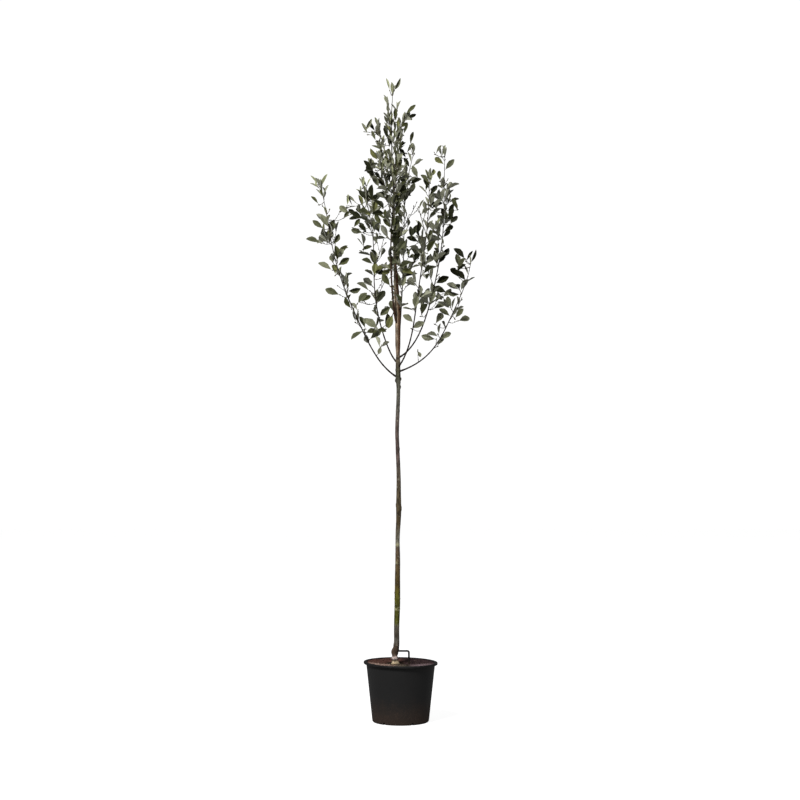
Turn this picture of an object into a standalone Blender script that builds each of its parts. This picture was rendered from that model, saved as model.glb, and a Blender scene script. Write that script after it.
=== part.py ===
"""Potted whitebeam: a young grafted standard tree in a plain nursery pot.

Metres, +Z up.  The origin is the middle of the pot's flat underside and -Y is the front.
Every limb follows one rule: it leaves its foot with a wide lean and eases towards the upright.
Every mass of foliage grows from one stem by a seeded rule: spurs set round the stem by the golden
angle, a side twig in place of every few spurs, and a fan of leaves on each.
"""
import math
import random
from dataclasses import dataclass

import bmesh
import bpy
from mathutils import Matrix, Vector
from mathutils.bvhtree import BVHTree
from mathutils.kdtree import KDTree

GAP = 0.0003                    # clearance between neighbouring pieces
UP = Vector((0, 0, 1))
GOLDEN = math.radians(137.5)    # turn from one spur to the next

# ---- pot and compost ------------------------------------------------------------------------
POT_HEIGHT = 0.235
POT_FOOT_RADIUS = 0.1137
POT_TOP_RADIUS = 0.1374         # outside of the wall, just under the rim
RIM_RADIUS = 0.148
RIM_HEIGHT = 0.011
RIM_EDGE = 0.0015               # rounding of the rim
FOOT_ROUNDING = 0.0075          # of the corner between wall and underside
FOOT_STEPS = 4
WALL = 0.0022
POT_FLOOR = 0.003
POT_STEPS = 36
SLOTS = 6                       # drainage slots round the foot
SLOT_WIDTH = 0.011
SLOT_HEIGHT = 0.009
SLOT_REACH = 0.014              # how far a slot runs in under the floor
SLOT_TURN = math.radians(-65.3)

COMPOST_TOP = 0.2285            # flat crown that the trunk stands on
COMPOST_CROWN = 0.064
COMPOST_EDGE = 0.2260

# ---- trunk ----------------------------------------------------------------------------------
# height, sideways offset, radius: flare, neck, graft, clean stem, knuckle of boughs, leader
TRUNK_STATIONS = (
    (0.2288, -0.0228, 0.0180),
    (0.2370, -0.0228, 0.0142),
    (0.2440, -0.0232, 0.0122),
    (0.2530, -0.0242, 0.0132),
    (0.2620, -0.0236, 0.0106),
    (0.2710, -0.0228, 0.0132),
    (0.2850, -0.0214, 0.0134),
    (0.3000, -0.0184, 0.0110),
    (0.3240, -0.0170, 0.0100),
    (0.5000, -0.0146, 0.0106),
    (0.6200, -0.0146, 0.0098),
    (0.7200, -0.0160, 0.0085),
    (0.8500, -0.0106, 0.0095),
    (0.9500, -0.0100, 0.0080),
    (1.1400, -0.0146, 0.0078),
    (1.3300, -0.0090, 0.0078),
    (1.3750, -0.0100, 0.0100),
    (1.4350, -0.0106, 0.0094),
    (1.4660, -0.0106, 0.0082),
    (1.5120, -0.0112, 0.0106),
    (1.6200, -0.0106, 0.0110),
    (1.7000, -0.0160, 0.0104),
    (1.7700, -0.0186, 0.0090),
    (1.8500, -0.0240, 0.0064),
    (2.0800, -0.0270, 0.0036),
    (2.2400, -0.0350, 0.0026),
    (2.4200, -0.0366, 0.0018),
    (2.5020, -0.0330, 0.0013),
)
TRUNK_DEPTH = 0.010             # how far back of the pot's middle the foot stands
TRUNK_SIDES = 8
TRUNK_STEP = 0.045
TRUNK_CENTRED = 1.3             # height where it has come in over the pot's middle
FLARE_STEP = 0.008              # finer rings up to the top of the graft
FLARE_TOP = 0.33
ROOT_LOBES = 3
ROOT_LOBE_DEPTH = 0.16
ROOT_LOBE_FADE = 0.012
ROOT_LOBE_TURN = 0.6

# ---- drip peg -------------------------------------------------------------------------------
PEG_RADIUS = 0.0025
PEG_SIDES = 6
PEG_ARM_HEIGHT = 0.281
PEG_LEG_X = 0.033
PEG_ELBOW = 0.006
PEG_ELBOW_STEPS = 4

# ---- boughs ---------------------------------------------------------------------------------
BOUGH_SIDES = 6
LIMB_STEP = 0.035               # between rings of the solid
PATH_STEP = 0.005               # between points of the line it follows
SWAY_WAVES = 1.5                # slow swings of a limb's lean over its length
FOOT_SWELL = 0.55               # extra radius where a limb leaves the trunk
FOOT_SWELL_FADE = 0.018
FOOT_SHARE = 0.75               # a limb is never thicker than this share of the trunk


@dataclass
class Limb:
    """One tapering limb: degrees for its directions, metres for its lengths."""
    foot: float                 # height where it leaves the trunk
    azimuth: float
    length: float               # from the trunk's middle to the stem's tip
    lean_foot: float            # lean from the upright at the foot
    lean_tip: float
    turn: float                 # length over which the lean eases
    drift: float = 0.0          # change of azimuth over the whole length
    sway: float = 0.0           # slow swing of the lean
    phase: float = 0.0
    bare: float = 0.0           # length without leaves; the bough ends there
    radius: float = 0.0031
    tip_radius: float = 0.0011
    twigs: int = 0              # side twigs in its mass
    seed: int = 1               # of the draws that its mass grows by


BOUGHS = {
    "left_low": Limb(1.375, 180, 0.840, 62, 12.5, 0.180, 0, 4.0, 0.55, 0.24, twigs=2, seed=40),
    "left_inner": Limb(1.433, 125, 0.780, 70, 8, 0.094, 16, 7.8, -0.10, 0.20, twigs=3, seed=35),
    "right_front": Limb(1.417, -55, 0.785, 52, 7, 0.172, 2, 4.5, 0.35, 0.23, twigs=2, seed=18),
    "right_back": Limb(1.454, 35, 0.890, 68, 2, 0.200, -2, 3.3, 0.53, 0.24, twigs=3, seed=13),
    "right_low": Limb(1.399, -5, 0.545, 70, 1, 0.310, 20, 4.5, 0.10, 0.15, twigs=1, seed=4),
    "front": Limb(1.590, -130, 0.650, 60, 12, 0.018, 90, 0.0, 0.0, 0.19, 0.0042,
                  twigs=2, seed=22),
    "back": Limb(1.490, 84, 0.760, 58, 8, 0.150, -6, 4.0, 0.70, 0.22, twigs=2, seed=14),
}

# ---- leader ---------------------------------------------------------------------------------
LEADER_SHOOTS = 12              # slender upright shoots round the top of the leader
SHOOTS_LOW = 1.960
SHOOTS_HIGH = 2.430
SHOOT_LONG = 0.265              # length of the lowest shoot
SHOOT_SHORT = 0.040             # length of the highest
SHOOT_EASE = 1.3                # how slowly they shorten at first
SHOOT_LEAN = 34
SHOOT_CLOSING = 0.3             # share of that lean that the highest lacks
SHOOT_LEAN_TIP = 9
SHOOT_TURN = 0.120
SHOOT_RADIUS = 0.0018
SHOOT_AZIMUTH = 90              # azimuth of the lowest
SHOOT_SEED = 3

LEADER_SPURS = 14               # short leafy spurs below and among them
SPURS_LOW = 1.640
SPURS_HIGH = 2.150
SPUR_ROSETTE = 5                # leaves on each
LEADER_SPUR = 0.034
LEADER_SPUR_LEAN = 55
SPUR_AZIMUTH = 300              # azimuth of the lowest
SPUR_SEED = 5

LEADER_BARE = 0.034             # bare foot of a shoot
TURN_ON = 40                    # how far a limb in the way of another is turned on
TIP_STEM = 0.008                # bare stem under the topmost leaves

# ---- spurs, twigs and leaves ----------------------------------------------------------------
VARIES = (0.85, 1.15)           # how far spacings and lengths vary
FIRST_SPUR = 0.020              # from the foot of a bough's stem
SPUR_SPACING = 0.044
SPUR_LENGTH = 0.016
SPUR_LONGER = (0.9, 1.4)        # how far that length varies
SPUR_RADIUS = 0.0015
SPUR_TAPER = 0.8
SPUR_LIFT = 1.0                 # how much a spur turns up from straight out
SPUR_LEAVES = 4
SPUR_ROOTS = (0.55, 0.95)       # leaves root between these shares of a spur
TUFT_LEAVES = 4
TUFT_ROOTS = (0.008, 0.003)     # and between these lengths from the end of a stem
ROSETTE_END = 0.002
LEAF_SPACING = 0.029            # between the single leaves of young wood
LEAF_STOP = 0.012               # room that they leave to the end tuft
YOUNG_FROM = 0.80               # young wood starts here along a bough's stem
TWIG_LENGTH = 0.170
TWIG_SHORTENS = 0.4             # share of that length that the highest twig lacks
TWIG_SPREAD = 0.3               # keeps the last twig off the young wood
TWIG_RADIUS = 0.0016
TWIG_TIP_RADIUS = 0.0010
TWIG_LEAN = 38                  # angle between a twig and its stem
TWIG_LIFT = 0.12                # how fast it turns up
TWIG_BARE = 0.030               # bare foot of a twig
STEM_SIDES = 5
TWIG_SIDES = 3

LEAF_LENGTH = 0.064
LEAF_WIDTH = 0.031
LEAF_THICK = 0.0009             # at the midrib, half way along
LEAF_SHOULDER = (0.36, 0.34)    # place along the leaf and half width, by length and width
LEAF_WAIST = (0.68, 0.46)
LEAF_CREST = 0.52               # where along the leaf it is thickest
LEAF_DROOP = 0.05               # how far the tip bends back, by length
LEAF_SIZES = (0.84, 1.12)
LEAF_SLIMNESS = (0.86, 1.08)
YOUNG_SIZE = 0.86
YOUNG_SLIMNESS = 0.80
LEAF_SPREAD = (26, 64)          # angle between a spur and its leaves
YOUNG_SPREAD = (24, 50)         # the same for single leaves on young wood
TUFT_SPREAD = (10, 32)
LEAF_STRAY = 0.3                # how far a leaf may turn out of its place round the stem
LEAF_ROLL = 0.35                # and roll about its own length, on average
TRIES = 5                       # directions tried before a leaf is skipped
REACH = 0.125                   # how far a mass spreads round its stem
SHARE = 0.016                   # how far it may lean into a neighbour's space
LEAF_HEART = 0.6                # point along a leaf that has to lie in its mass's space
BLADE_CLEAR = 0.0010            # room kept round a blade
BLADE_START = 0.26              # the blade proper starts here, past the crowded roots

# ---- colours (linear) -----------------------------------------------------------------------
PLASTIC_BLACK = (0.018, 0.018, 0.019)
COMPOST_BROWN = (0.050, 0.033, 0.024)
BARK_GREY = (0.115, 0.098, 0.070)
TWIG_BROWN = (0.045, 0.035, 0.028)
LEAF_GREEN = (0.085, 0.100, 0.050)


def remove_all_objects():
    for item in list(bpy.data.objects):
        bpy.data.objects.remove(item, do_unlink=True)


def make_material(name, colour, roughness):
    material = bpy.data.materials.new(name)
    material.use_nodes = True
    shader = material.node_tree.nodes["Principled BSDF"]
    shader.inputs["Base Color"].default_value = (*colour, 1.0)
    shader.inputs["Roughness"].default_value = roughness
    shader.inputs["Metallic"].default_value = 0.0
    return material


def mesh_object(name, vertices, faces, colour=None, roughness=0.7, collection=None):
    """A mesh as a new object, with a material of its own where a colour is given."""
    mesh = bpy.data.meshes.new(name)
    mesh.from_pydata([tuple(v) for v in vertices], [], faces)
    mesh.update()
    if colour:
        mesh.materials.append(make_material(name, colour, roughness))
    item = bpy.data.objects.new(name, mesh)
    (collection or bpy.context.scene.collection).objects.link(item)
    return item


def shade_round(item, angle=40):
    item.data.shade_smooth()
    item.data.set_sharp_from_angle(angle=math.radians(angle))


def boolean(item, operation, cutter=None, collection=None, solver="EXACT"):
    modifier = item.modifiers.new(operation.title(), "BOOLEAN")
    modifier.operation = operation
    modifier.solver = solver
    if collection:
        modifier.operand_type = "COLLECTION"
        modifier.collection = collection
    else:
        modifier.object = cutter
    return modifier


def drop_scraps(item):
    """Leave only the largest connected piece of a mesh."""
    shape = bmesh.new()
    shape.from_mesh(item.data)
    unseen = set(shape.verts)
    bodies = []
    while unseen:
        edge = [unseen.pop()]
        body = list(edge)
        while edge:
            near = {e.other_vert(v) for v in edge for e in v.link_edges} & unseen
            unseen -= near
            edge = list(near)
            body += edge
        bodies.append(body)
    bodies.sort(key=len)
    for body in bodies[:-1]:
        bmesh.ops.delete(shape, geom=body, context="VERTS")
    shape.to_mesh(item.data)
    shape.free()


def apply_modifiers(item):
    with bpy.context.temp_override(object=item, active_object=item, selected_objects=[item]):
        for modifier in list(item.modifiers):
            bpy.ops.object.modifier_apply(modifier=modifier.name)


# ---- plain shapes ---------------------------------------------------------------------------

def turned(profile, steps):
    """Vertices and faces of a closed profile (radius, height) turned round the Z axis.

    The profile starts and ends on the axis and runs outside first, from the bottom up."""
    vertices = [Vector((0, 0, profile[0][1])), Vector((0, 0, profile[-1][1]))]
    rings = []
    for radius, height in profile[1:-1]:
        ring = []
        for k in range(steps):
            angle = 2 * math.pi * k / steps
            ring.append(len(vertices))
            vertices.append(Vector((radius * math.cos(angle), radius * math.sin(angle), height)))
        rings.append(ring)
    faces = []
    for k in range(steps):
        n = (k + 1) % steps
        faces.append((0, rings[0][n], rings[0][k]))
        faces.append((1, rings[-1][k], rings[-1][n]))
        for low, high in zip(rings, rings[1:]):
            faces.append((low[k], low[n], high[n], high[k]))
    return vertices, faces


def frames_along(points):
    """A direction and two crosswise axes at each point, carried along without twist."""
    frames = []
    across = None
    for k, point in enumerate(points):
        before = points[max(k - 1, 0)]
        after = points[min(k + 1, len(points) - 1)]
        ahead = (after - before).normalized()
        if across is None:
            across = ahead.orthogonal().normalized()
        across = (across - ahead * across.dot(ahead)).normalized()
        frames.append((ahead, across, ahead.cross(across)))
    return frames


def tube(points, radii, sides, widen=None):
    """Vertices and faces of a closed tube; widen(k, angle) scales the radius of ring k."""
    vertices = []
    faces = []
    for k, (ahead, across, other) in enumerate(frames_along(points)):
        for side in range(sides):
            angle = 2 * math.pi * side / sides
            radius = radii[k] * (widen(k, angle) if widen else 1.0)
            spoke = across * math.cos(angle) + other * math.sin(angle)
            vertices.append(points[k] + spoke * radius)
    for k in range(len(points) - 1):
        low = k * sides
        high = low + sides
        for side in range(sides):
            n = (side + 1) % sides
            faces.append((low + side, low + n, high + n, high + side))
    faces.append(tuple(reversed(range(sides))))
    faces.append(tuple(range(len(vertices) - sides, len(vertices))))
    return vertices, faces


# ---- pot, compost and peg -------------------------------------------------------------------

def build_pot():
    under_rim = POT_HEIGHT - RIM_HEIGHT
    inner_foot = POT_FOOT_RADIUS - WALL
    inner_top = POT_TOP_RADIUS - WALL
    edge = RIM_EDGE
    corner = POT_FOOT_RADIUS - FOOT_ROUNDING
    profile = [(0, 0)]
    for k in range(FOOT_STEPS + 1):
        angle = math.pi / 2 * (k / FOOT_STEPS - 1)
        profile.append((corner + FOOT_ROUNDING * math.cos(angle),
                        FOOT_ROUNDING * (1 + math.sin(angle))))
    profile += [
        (POT_TOP_RADIUS, under_rim), (RIM_RADIUS - edge, under_rim - edge),
        (RIM_RADIUS, under_rim + edge), (RIM_RADIUS - edge, POT_HEIGHT - edge),
        (RIM_RADIUS - 3 * edge, POT_HEIGHT), (inner_top + edge, POT_HEIGHT),
        (inner_top, POT_HEIGHT - 2 * edge), (inner_foot, FOOT_ROUNDING), (corner, POT_FLOOR),
        (0, POT_FLOOR),
    ]
    pot = mesh_object("pot", *turned(profile, POT_STEPS), PLASTIC_BLACK, 0.45)
    slots = []
    for k in range(SLOTS):
        angle = SLOT_TURN + k * 2 * math.pi / SLOTS
        bpy.ops.mesh.primitive_cube_add(size=1)
        slot = bpy.context.object
        slot.name = f"slot_cutter_{k + 1}"
        middle = POT_FOOT_RADIUS - SLOT_REACH / 2 + WALL
        place = Matrix.Rotation(angle, 4, "Z") @ Matrix.Translation((middle, 0, 0))
        size = Matrix.Diagonal((SLOT_REACH + 2 * WALL, SLOT_WIDTH, 2 * SLOT_HEIGHT, 1))
        slot.data.transform(place @ size)
        slot.hide_render = True
        slot.display_type = "WIRE"
        slots.append(slot)
        boolean(pot, "DIFFERENCE", slot)
    apply_modifiers(pot)
    for slot in slots:
        bpy.data.objects.remove(slot, do_unlink=True)
    shade_round(pot, 30)


def build_compost():
    low = POT_FLOOR + GAP
    inner_foot = POT_FOOT_RADIUS - WALL - 2 * GAP
    slope = (POT_TOP_RADIUS - POT_FOOT_RADIUS) / (POT_HEIGHT - FOOT_ROUNDING)
    inner_edge = inner_foot + slope * (COMPOST_EDGE - FOOT_ROUNDING)
    profile = [(0, low), (inner_foot - FOOT_ROUNDING + WALL, low), (inner_foot, FOOT_ROUNDING),
               (inner_edge, COMPOST_EDGE),
               (COMPOST_CROWN, COMPOST_TOP), (0, COMPOST_TOP)]
    compost = mesh_object("compost", *turned(profile, POT_STEPS), COMPOST_BROWN, 0.9)
    shade_round(compost, 30)


def build_peg(trunk_cutter):
    """A bent rod: a level arm that reaches the graft and a leg that stands on the compost."""
    depth = trunk_middle(PEG_ARM_HEIGHT).y
    foot = Vector((PEG_LEG_X, depth, COMPOST_TOP + GAP))
    elbow = Vector((PEG_LEG_X - PEG_ELBOW, depth, PEG_ARM_HEIGHT - PEG_ELBOW))
    points = [foot]
    for k in range(PEG_ELBOW_STEPS + 1):
        angle = math.pi / 2 * k / PEG_ELBOW_STEPS
        points.append(elbow + PEG_ELBOW * Vector((math.cos(angle), 0, math.sin(angle))))
    points.append(Vector((trunk_middle(PEG_ARM_HEIGHT).x, depth, PEG_ARM_HEIGHT)))
    peg = mesh_object("drip_peg", *tube(points, [PEG_RADIUS] * len(points), PEG_SIDES),
                      PLASTIC_BLACK, 0.45)
    boolean(peg, "DIFFERENCE", trunk_cutter)
    apply_modifiers(peg)
    shade_round(peg)


# ---- trunk and limbs ------------------------------------------------------------------------

def eased(value, low, high):
    t = min(max((value - low) / (high - low), 0.0), 1.0)
    return t * t * (3 - 2 * t)


def trunk_at(height):
    """Middle and radius of the trunk at a height, eased between its stations."""
    height = min(max(height, TRUNK_STATIONS[0][0]), TRUNK_STATIONS[-1][0])
    for low, high in zip(TRUNK_STATIONS, TRUNK_STATIONS[1:]):
        if height <= high[0]:
            break
    t = eased(height, low[0], high[0])
    x = low[1] + (high[1] - low[1]) * t
    radius = low[2] + (high[2] - low[2]) * t
    depth = TRUNK_DEPTH * (1 - eased(height, TRUNK_STATIONS[0][0], TRUNK_CENTRED))
    return Vector((x, depth, height)), radius


def trunk_middle(height):
    return trunk_at(height)[0]


def trunk_tube(clearance=0.0):
    foot, top = TRUNK_STATIONS[0][0], TRUNK_STATIONS[-1][0]
    heights = [foot]
    while heights[-1] < top:
        step = FLARE_STEP if heights[-1] < FLARE_TOP else TRUNK_STEP
        heights.append(min(heights[-1] + step, top))
    points = [trunk_middle(h) for h in heights]
    radii = [trunk_at(h)[1] + clearance for h in heights]
    points[0] -= UP * clearance
    points[-1] += UP * clearance

    def lobed(k, angle):
        fade = math.exp(-(heights[k] - foot) / ROOT_LOBE_FADE)
        return 1 + ROOT_LOBE_DEPTH * fade * math.cos(ROOT_LOBES * angle + ROOT_LOBE_TURN)

    return tube(points, radii, TRUNK_SIDES, lobed)


def limb_path(limb):
    """Points from the trunk's middle to the tip, at a fine even step, with their lengths."""
    count = int(limb.length / PATH_STEP)
    step = limb.length / count
    points = [trunk_middle(limb.foot)]
    for k in range(count):
        s = (k + 0.5) * step
        swing = limb.sway * math.sin(2 * math.pi * (SWAY_WAVES * s / limb.length + limb.phase))
        lean = limb.lean_tip + (limb.lean_foot - limb.lean_tip) * math.exp(-s / limb.turn)
        lean = math.radians(lean + swing)
        azimuth = math.radians(limb.azimuth + limb.drift * s / limb.length)
        ahead = Vector((math.sin(lean) * math.cos(azimuth), math.sin(lean) * math.sin(azimuth),
                        math.cos(lean)))
        points.append(points[-1] + ahead * step)
    return points, step


def point_on(path, step, s):
    k = min(int(s / step), len(path) - 2)
    t = s / step - k
    return path[k] + (path[k + 1] - path[k]) * t


def limb_stretch(limb, start, end, spacing=LIMB_STEP):
    """Points and radii of a limb between two lengths along it."""
    path, step = limb_path(limb)
    count = max(round((end - start) / spacing), 1)
    most = FOOT_SHARE * trunk_at(limb.foot)[1]
    points = []
    radii = []
    for k in range(count + 1):
        s = start + (end - start) * k / count
        taper = limb.radius + (limb.tip_radius - limb.radius) * s / limb.length
        swell = 1 + FOOT_SWELL * math.exp(-s / FOOT_SWELL_FADE)
        points.append(point_on(path, step, s))
        radii.append(min(taper * swell, most))
    return points, radii


def leader_limbs():
    """The slender shoots and short spurs that stand round the leader, as named limbs."""
    limbs = {}
    for k in range(LEADER_SHOOTS):
        t = k / (LEADER_SHOOTS - 1)
        limbs[f"leader_shoot_{k + 1:02d}"] = Limb(
            foot=SHOOTS_LOW + (SHOOTS_HIGH - SHOOTS_LOW) * t,
            azimuth=SHOOT_AZIMUTH + math.degrees(GOLDEN) * k,
            length=SHOOT_LONG + (SHOOT_SHORT - SHOOT_LONG) * t ** SHOOT_EASE,
            lean_foot=SHOOT_LEAN * (1 - SHOOT_CLOSING * t), lean_tip=SHOOT_LEAN_TIP,
            turn=SHOOT_TURN,
            radius=SHOOT_RADIUS, seed=SHOOT_SEED)
    for k in range(LEADER_SPURS):
        t = k / (LEADER_SPURS - 1)
        limbs[f"leader_spur_{k + 1:02d}"] = Limb(
            foot=SPURS_LOW + (SPURS_HIGH - SPURS_LOW) * t,
            azimuth=SPUR_AZIMUTH + math.degrees(GOLDEN) * k,
            length=LEADER_SPUR, lean_foot=LEADER_SPUR_LEAN, lean_tip=LEADER_SPUR_LEAN,
            turn=1.0, radius=SHOOT_RADIUS, tip_radius=SPUR_RADIUS, seed=SPUR_SEED)
    return limbs


def build_trunk():
    trunk = mesh_object("trunk", *trunk_tube(), BARK_GREY, 0.8)
    shade_round(trunk)


def build_bough(name, limb, trunk_cutter):
    points, radii = limb_stretch(limb, 0.0, limb.bare)
    bough = mesh_object(f"bough_{name}", *tube(points, radii, BOUGH_SIDES), TWIG_BROWN, 0.8)
    boolean(bough, "DIFFERENCE", trunk_cutter)
    apply_modifiers(bough)
    drop_scraps(bough)
    shade_round(bough)


# ---- leaves ---------------------------------------------------------------------------------

@dataclass
class Leaf:
    root: Vector
    along: Vector               # from root to tip
    face: Vector                # upper side
    length: float
    width: float
    young: bool = False         # narrow erect leaf of an end tuft


@dataclass
class Twig:
    points: list
    radii: list


def leaf_solid(leaf, start=0.0, room=0.0):
    """A thin blade that narrows to its root: ten faces, or six on a slim young leaf.

    start trims the root end off and room swells the blade, for testing what it would touch."""
    side = leaf.face.cross(leaf.along).normalized()
    length = leaf.length + room
    width = leaf.width + 2 * room

    def corner(place, half, lift=0.0):
        droop = LEAF_DROOP * place * place * length
        return (leaf.root + leaf.along * (place * length) + side * (half * width)
                + leaf.face * (lift - droop))

    root, tip = corner(start, 0.0), corner(1.0, 0.0)
    crest = corner(LEAF_CREST, 0.0, LEAF_THICK + room)
    if leaf.young:
        vertices = [root, corner(LEAF_CREST, 0.5), corner(LEAF_CREST, -0.5), tip, crest]
        faces = [(0, 1, 2), (1, 3, 2), (4, 1, 0), (4, 3, 1), (4, 2, 3), (4, 0, 2)]
        return vertices, faces
    (low, low_half), (high, high_half) = LEAF_SHOULDER, LEAF_WAIST
    vertices = [root, corner(low, low_half), corner(low, -low_half),
                corner(high, high_half), corner(high, -high_half), tip, crest]
    faces = [(0, 1, 2), (1, 4, 2), (1, 3, 4), (3, 5, 4),
             (6, 1, 0), (6, 3, 1), (6, 5, 3), (6, 4, 5), (6, 2, 4), (6, 0, 2)]
    return vertices, faces


class Placed:
    """What already stands in the crown, for testing new leaves and twigs against."""

    def __init__(self):
        self.items = []

    def add(self, owner, kind, vertices, faces):
        low = [min(v[i] for v in vertices) for i in range(3)]
        high = [max(v[i] for v in vertices) for i in range(3)]
        tree = BVHTree.FromPolygons([tuple(v) for v in vertices], faces)
        self.items.append((owner, kind, low, high, tree))

    def touches(self, vertices, faces, wanted):
        """True where the given shape meets an item that wanted(owner, kind) picks."""
        low = [min(v[i] for v in vertices) for i in range(3)]
        high = [max(v[i] for v in vertices) for i in range(3)]
        tree = None
        for owner, kind, other_low, other_high, other in self.items:
            if not wanted(owner, kind):
                continue
            if any(low[i] > other_high[i] or high[i] < other_low[i] for i in range(3)):
                continue
            tree = tree or BVHTree.FromPolygons([tuple(v) for v in vertices], faces)
            if tree.overlap(other):
                return True
        return False


class Space:
    """Each mass's share of the crown: near its own stem, and nearer to it than to another's."""

    def __init__(self, stems):
        self.owners = []
        points = []
        for name, path in stems.items():
            for point in path:
                points.append(point)
                self.owners.append(name)
        self.tree = KDTree(len(points))
        for k, point in enumerate(points):
            self.tree.insert(point, k)
        self.tree.balance()

    def holds(self, name, point):
        own = self.tree.find(point, filter=lambda k: self.owners[k] == name)[2]
        nearest = self.tree.find(point)[2]
        return own < REACH and own < nearest + SHARE


class Mass:
    """One mass of foliage: a stem with the twigs and leaves that grew on it."""

    def __init__(self, name, seed, stem, radii, placed, space):
        self.name = name
        self.stem = stem
        self.radii = radii
        self.placed = placed
        self.space = space
        self.twigs = []
        self.leaves = []
        self.draw = random.Random(f"{name} {seed}")

    def try_leaf(self, leaf):
        tip = leaf.root + leaf.along * leaf.length
        heart = leaf.root + leaf.along * (leaf.length * LEAF_HEART)
        if not (self.space.holds(self.name, tip) and self.space.holds(self.name, heart)):
            return False
        whole = leaf_solid(leaf, 0.0, BLADE_CLEAR)
        if self.placed.touches(*whole, lambda owner, kind: owner != self.name and kind != "blade"):
            return False
        blade = leaf_solid(leaf, BLADE_START, BLADE_CLEAR)
        if self.placed.touches(*blade, lambda owner, kind: owner == self.name and kind != "leaf"):
            return False
        self.leaves.append(leaf)
        self.placed.add(self.name, "leaf", *leaf_solid(leaf, 0.0, BLADE_CLEAR))
        self.placed.add(self.name, "blade", *leaf_solid(leaf, BLADE_START, 0.0))
        return True

    def try_twig(self, points, radii):
        if not all(self.space.holds(self.name, point) for point in points):
            return False
        roomy = tube(points, [r + BLADE_CLEAR for r in radii], TWIG_SIDES)
        if self.placed.touches(*roomy, lambda owner, kind: owner != self.name and kind != "blade"):
            return False
        clear_of_root = tube([points[0].lerp(points[1], 0.5)] + points[1:], radii, TWIG_SIDES)
        if self.placed.touches(*clear_of_root, lambda owner, kind: owner == self.name):
            return False
        self.twigs.append(Twig(points, radii))
        self.placed.add(self.name, "twig", *tube(points, radii, TWIG_SIDES))
        return True

    def leaf(self, root, axis, turn, spread, young=False):
        """One leaf at a turn round an axis, tried in a few directions near that."""
        across = axis.orthogonal().normalized()
        for _ in range(TRIES):
            angle = math.radians(self.draw.uniform(*spread))
            stray = self.draw.uniform(-LEAF_STRAY, LEAF_STRAY)
            out = Matrix.Rotation(turn + stray, 3, axis) @ across
            along = (axis * math.cos(angle) + out * math.sin(angle)).normalized()
            face = (axis - along * axis.dot(along)).normalized()
            face = Matrix.Rotation(self.draw.gauss(0, LEAF_ROLL), 3, along) @ face
            size = self.draw.uniform(*LEAF_SIZES) * (YOUNG_SIZE if young else 1.0)
            slim = self.draw.uniform(*LEAF_SLIMNESS) * (YOUNG_SLIMNESS if young else 1.0)
            leaf = Leaf(root, along, face, LEAF_LENGTH * size, LEAF_WIDTH * size * slim, young)
            if self.try_leaf(leaf):
                return

    def fan(self, low, high, axis, count, spread, young=False):
        """Leaves set round an axis, their roots one after another from low to high."""
        first = self.draw.uniform(0, 2 * math.pi)
        for k in range(count):
            root = low.lerp(high, k / max(count - 1, 1))
            self.leaf(root, axis, first + 2 * math.pi * k / count, spread, young)

    def spur(self, base, stem_ahead, turn, leaves):
        """A short spur that turns up from its stem, with its fan of leaves."""
        across = stem_ahead.orthogonal().normalized()
        out = Matrix.Rotation(turn, 3, stem_ahead) @ across
        axis = (out + UP * SPUR_LIFT).normalized()
        end = base + axis * SPUR_LENGTH * self.draw.uniform(*SPUR_LONGER)
        if self.try_twig([base, end], [SPUR_RADIUS, SPUR_RADIUS * SPUR_TAPER]):
            low, high = (base.lerp(end, share) for share in SPUR_ROOTS)
            self.fan(low, high, axis, leaves, LEAF_SPREAD)

    def twig(self, base, stem_ahead, turn, length):
        """A side twig that bends up, with single leaves and an end tuft."""
        across = stem_ahead.orthogonal().normalized()
        out = Matrix.Rotation(turn, 3, stem_ahead) @ across
        lean = math.radians(TWIG_LEAN)
        ahead = (stem_ahead * math.cos(lean) + out * math.sin(lean)).normalized()
        count = max(round(length / LIMB_STEP), 2)
        points = [base]
        for _ in range(count):
            ahead = (ahead + UP * TWIG_LIFT).normalized()
            points.append(points[-1] + ahead * (length / count))
        radii = [TWIG_RADIUS + (TWIG_TIP_RADIUS - TWIG_RADIUS) * k / count
                 for k in range(count + 1)]
        if not self.try_twig(points, radii):
            return False
        self.single_leaves(points, TWIG_BARE, length)
        self.tuft(points)
        return True

    def single_leaves(self, points, first, last):
        """Single leaves by the golden angle along young wood."""
        turn = self.draw.uniform(0, 2 * math.pi)
        s = first
        while s < last - LEAF_STOP:
            turn += GOLDEN
            point, ahead = along_points(points, s)
            self.leaf(point, ahead, turn, YOUNG_SPREAD, young=True)
            s += LEAF_SPACING * self.draw.uniform(*VARIES)

    def tuft(self, points):
        """Young leaves at the end of a stem or twig."""
        axis = (points[-1] - points[-2]).normalized()
        low, high = (points[-1] - axis * back for back in TUFT_ROOTS)
        self.fan(low, high, axis, TUFT_LEAVES, TUFT_SPREAD, young=True)

    def rosette(self, leaves):
        """A fan of full leaves at the end of the stem."""
        base, end = self.stem[-2:]
        axis = (end - base).normalized()
        low = end - axis * SPUR_LENGTH / 2
        self.fan(low, end - axis * ROSETTE_END, axis, leaves, LEAF_SPREAD)

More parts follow.
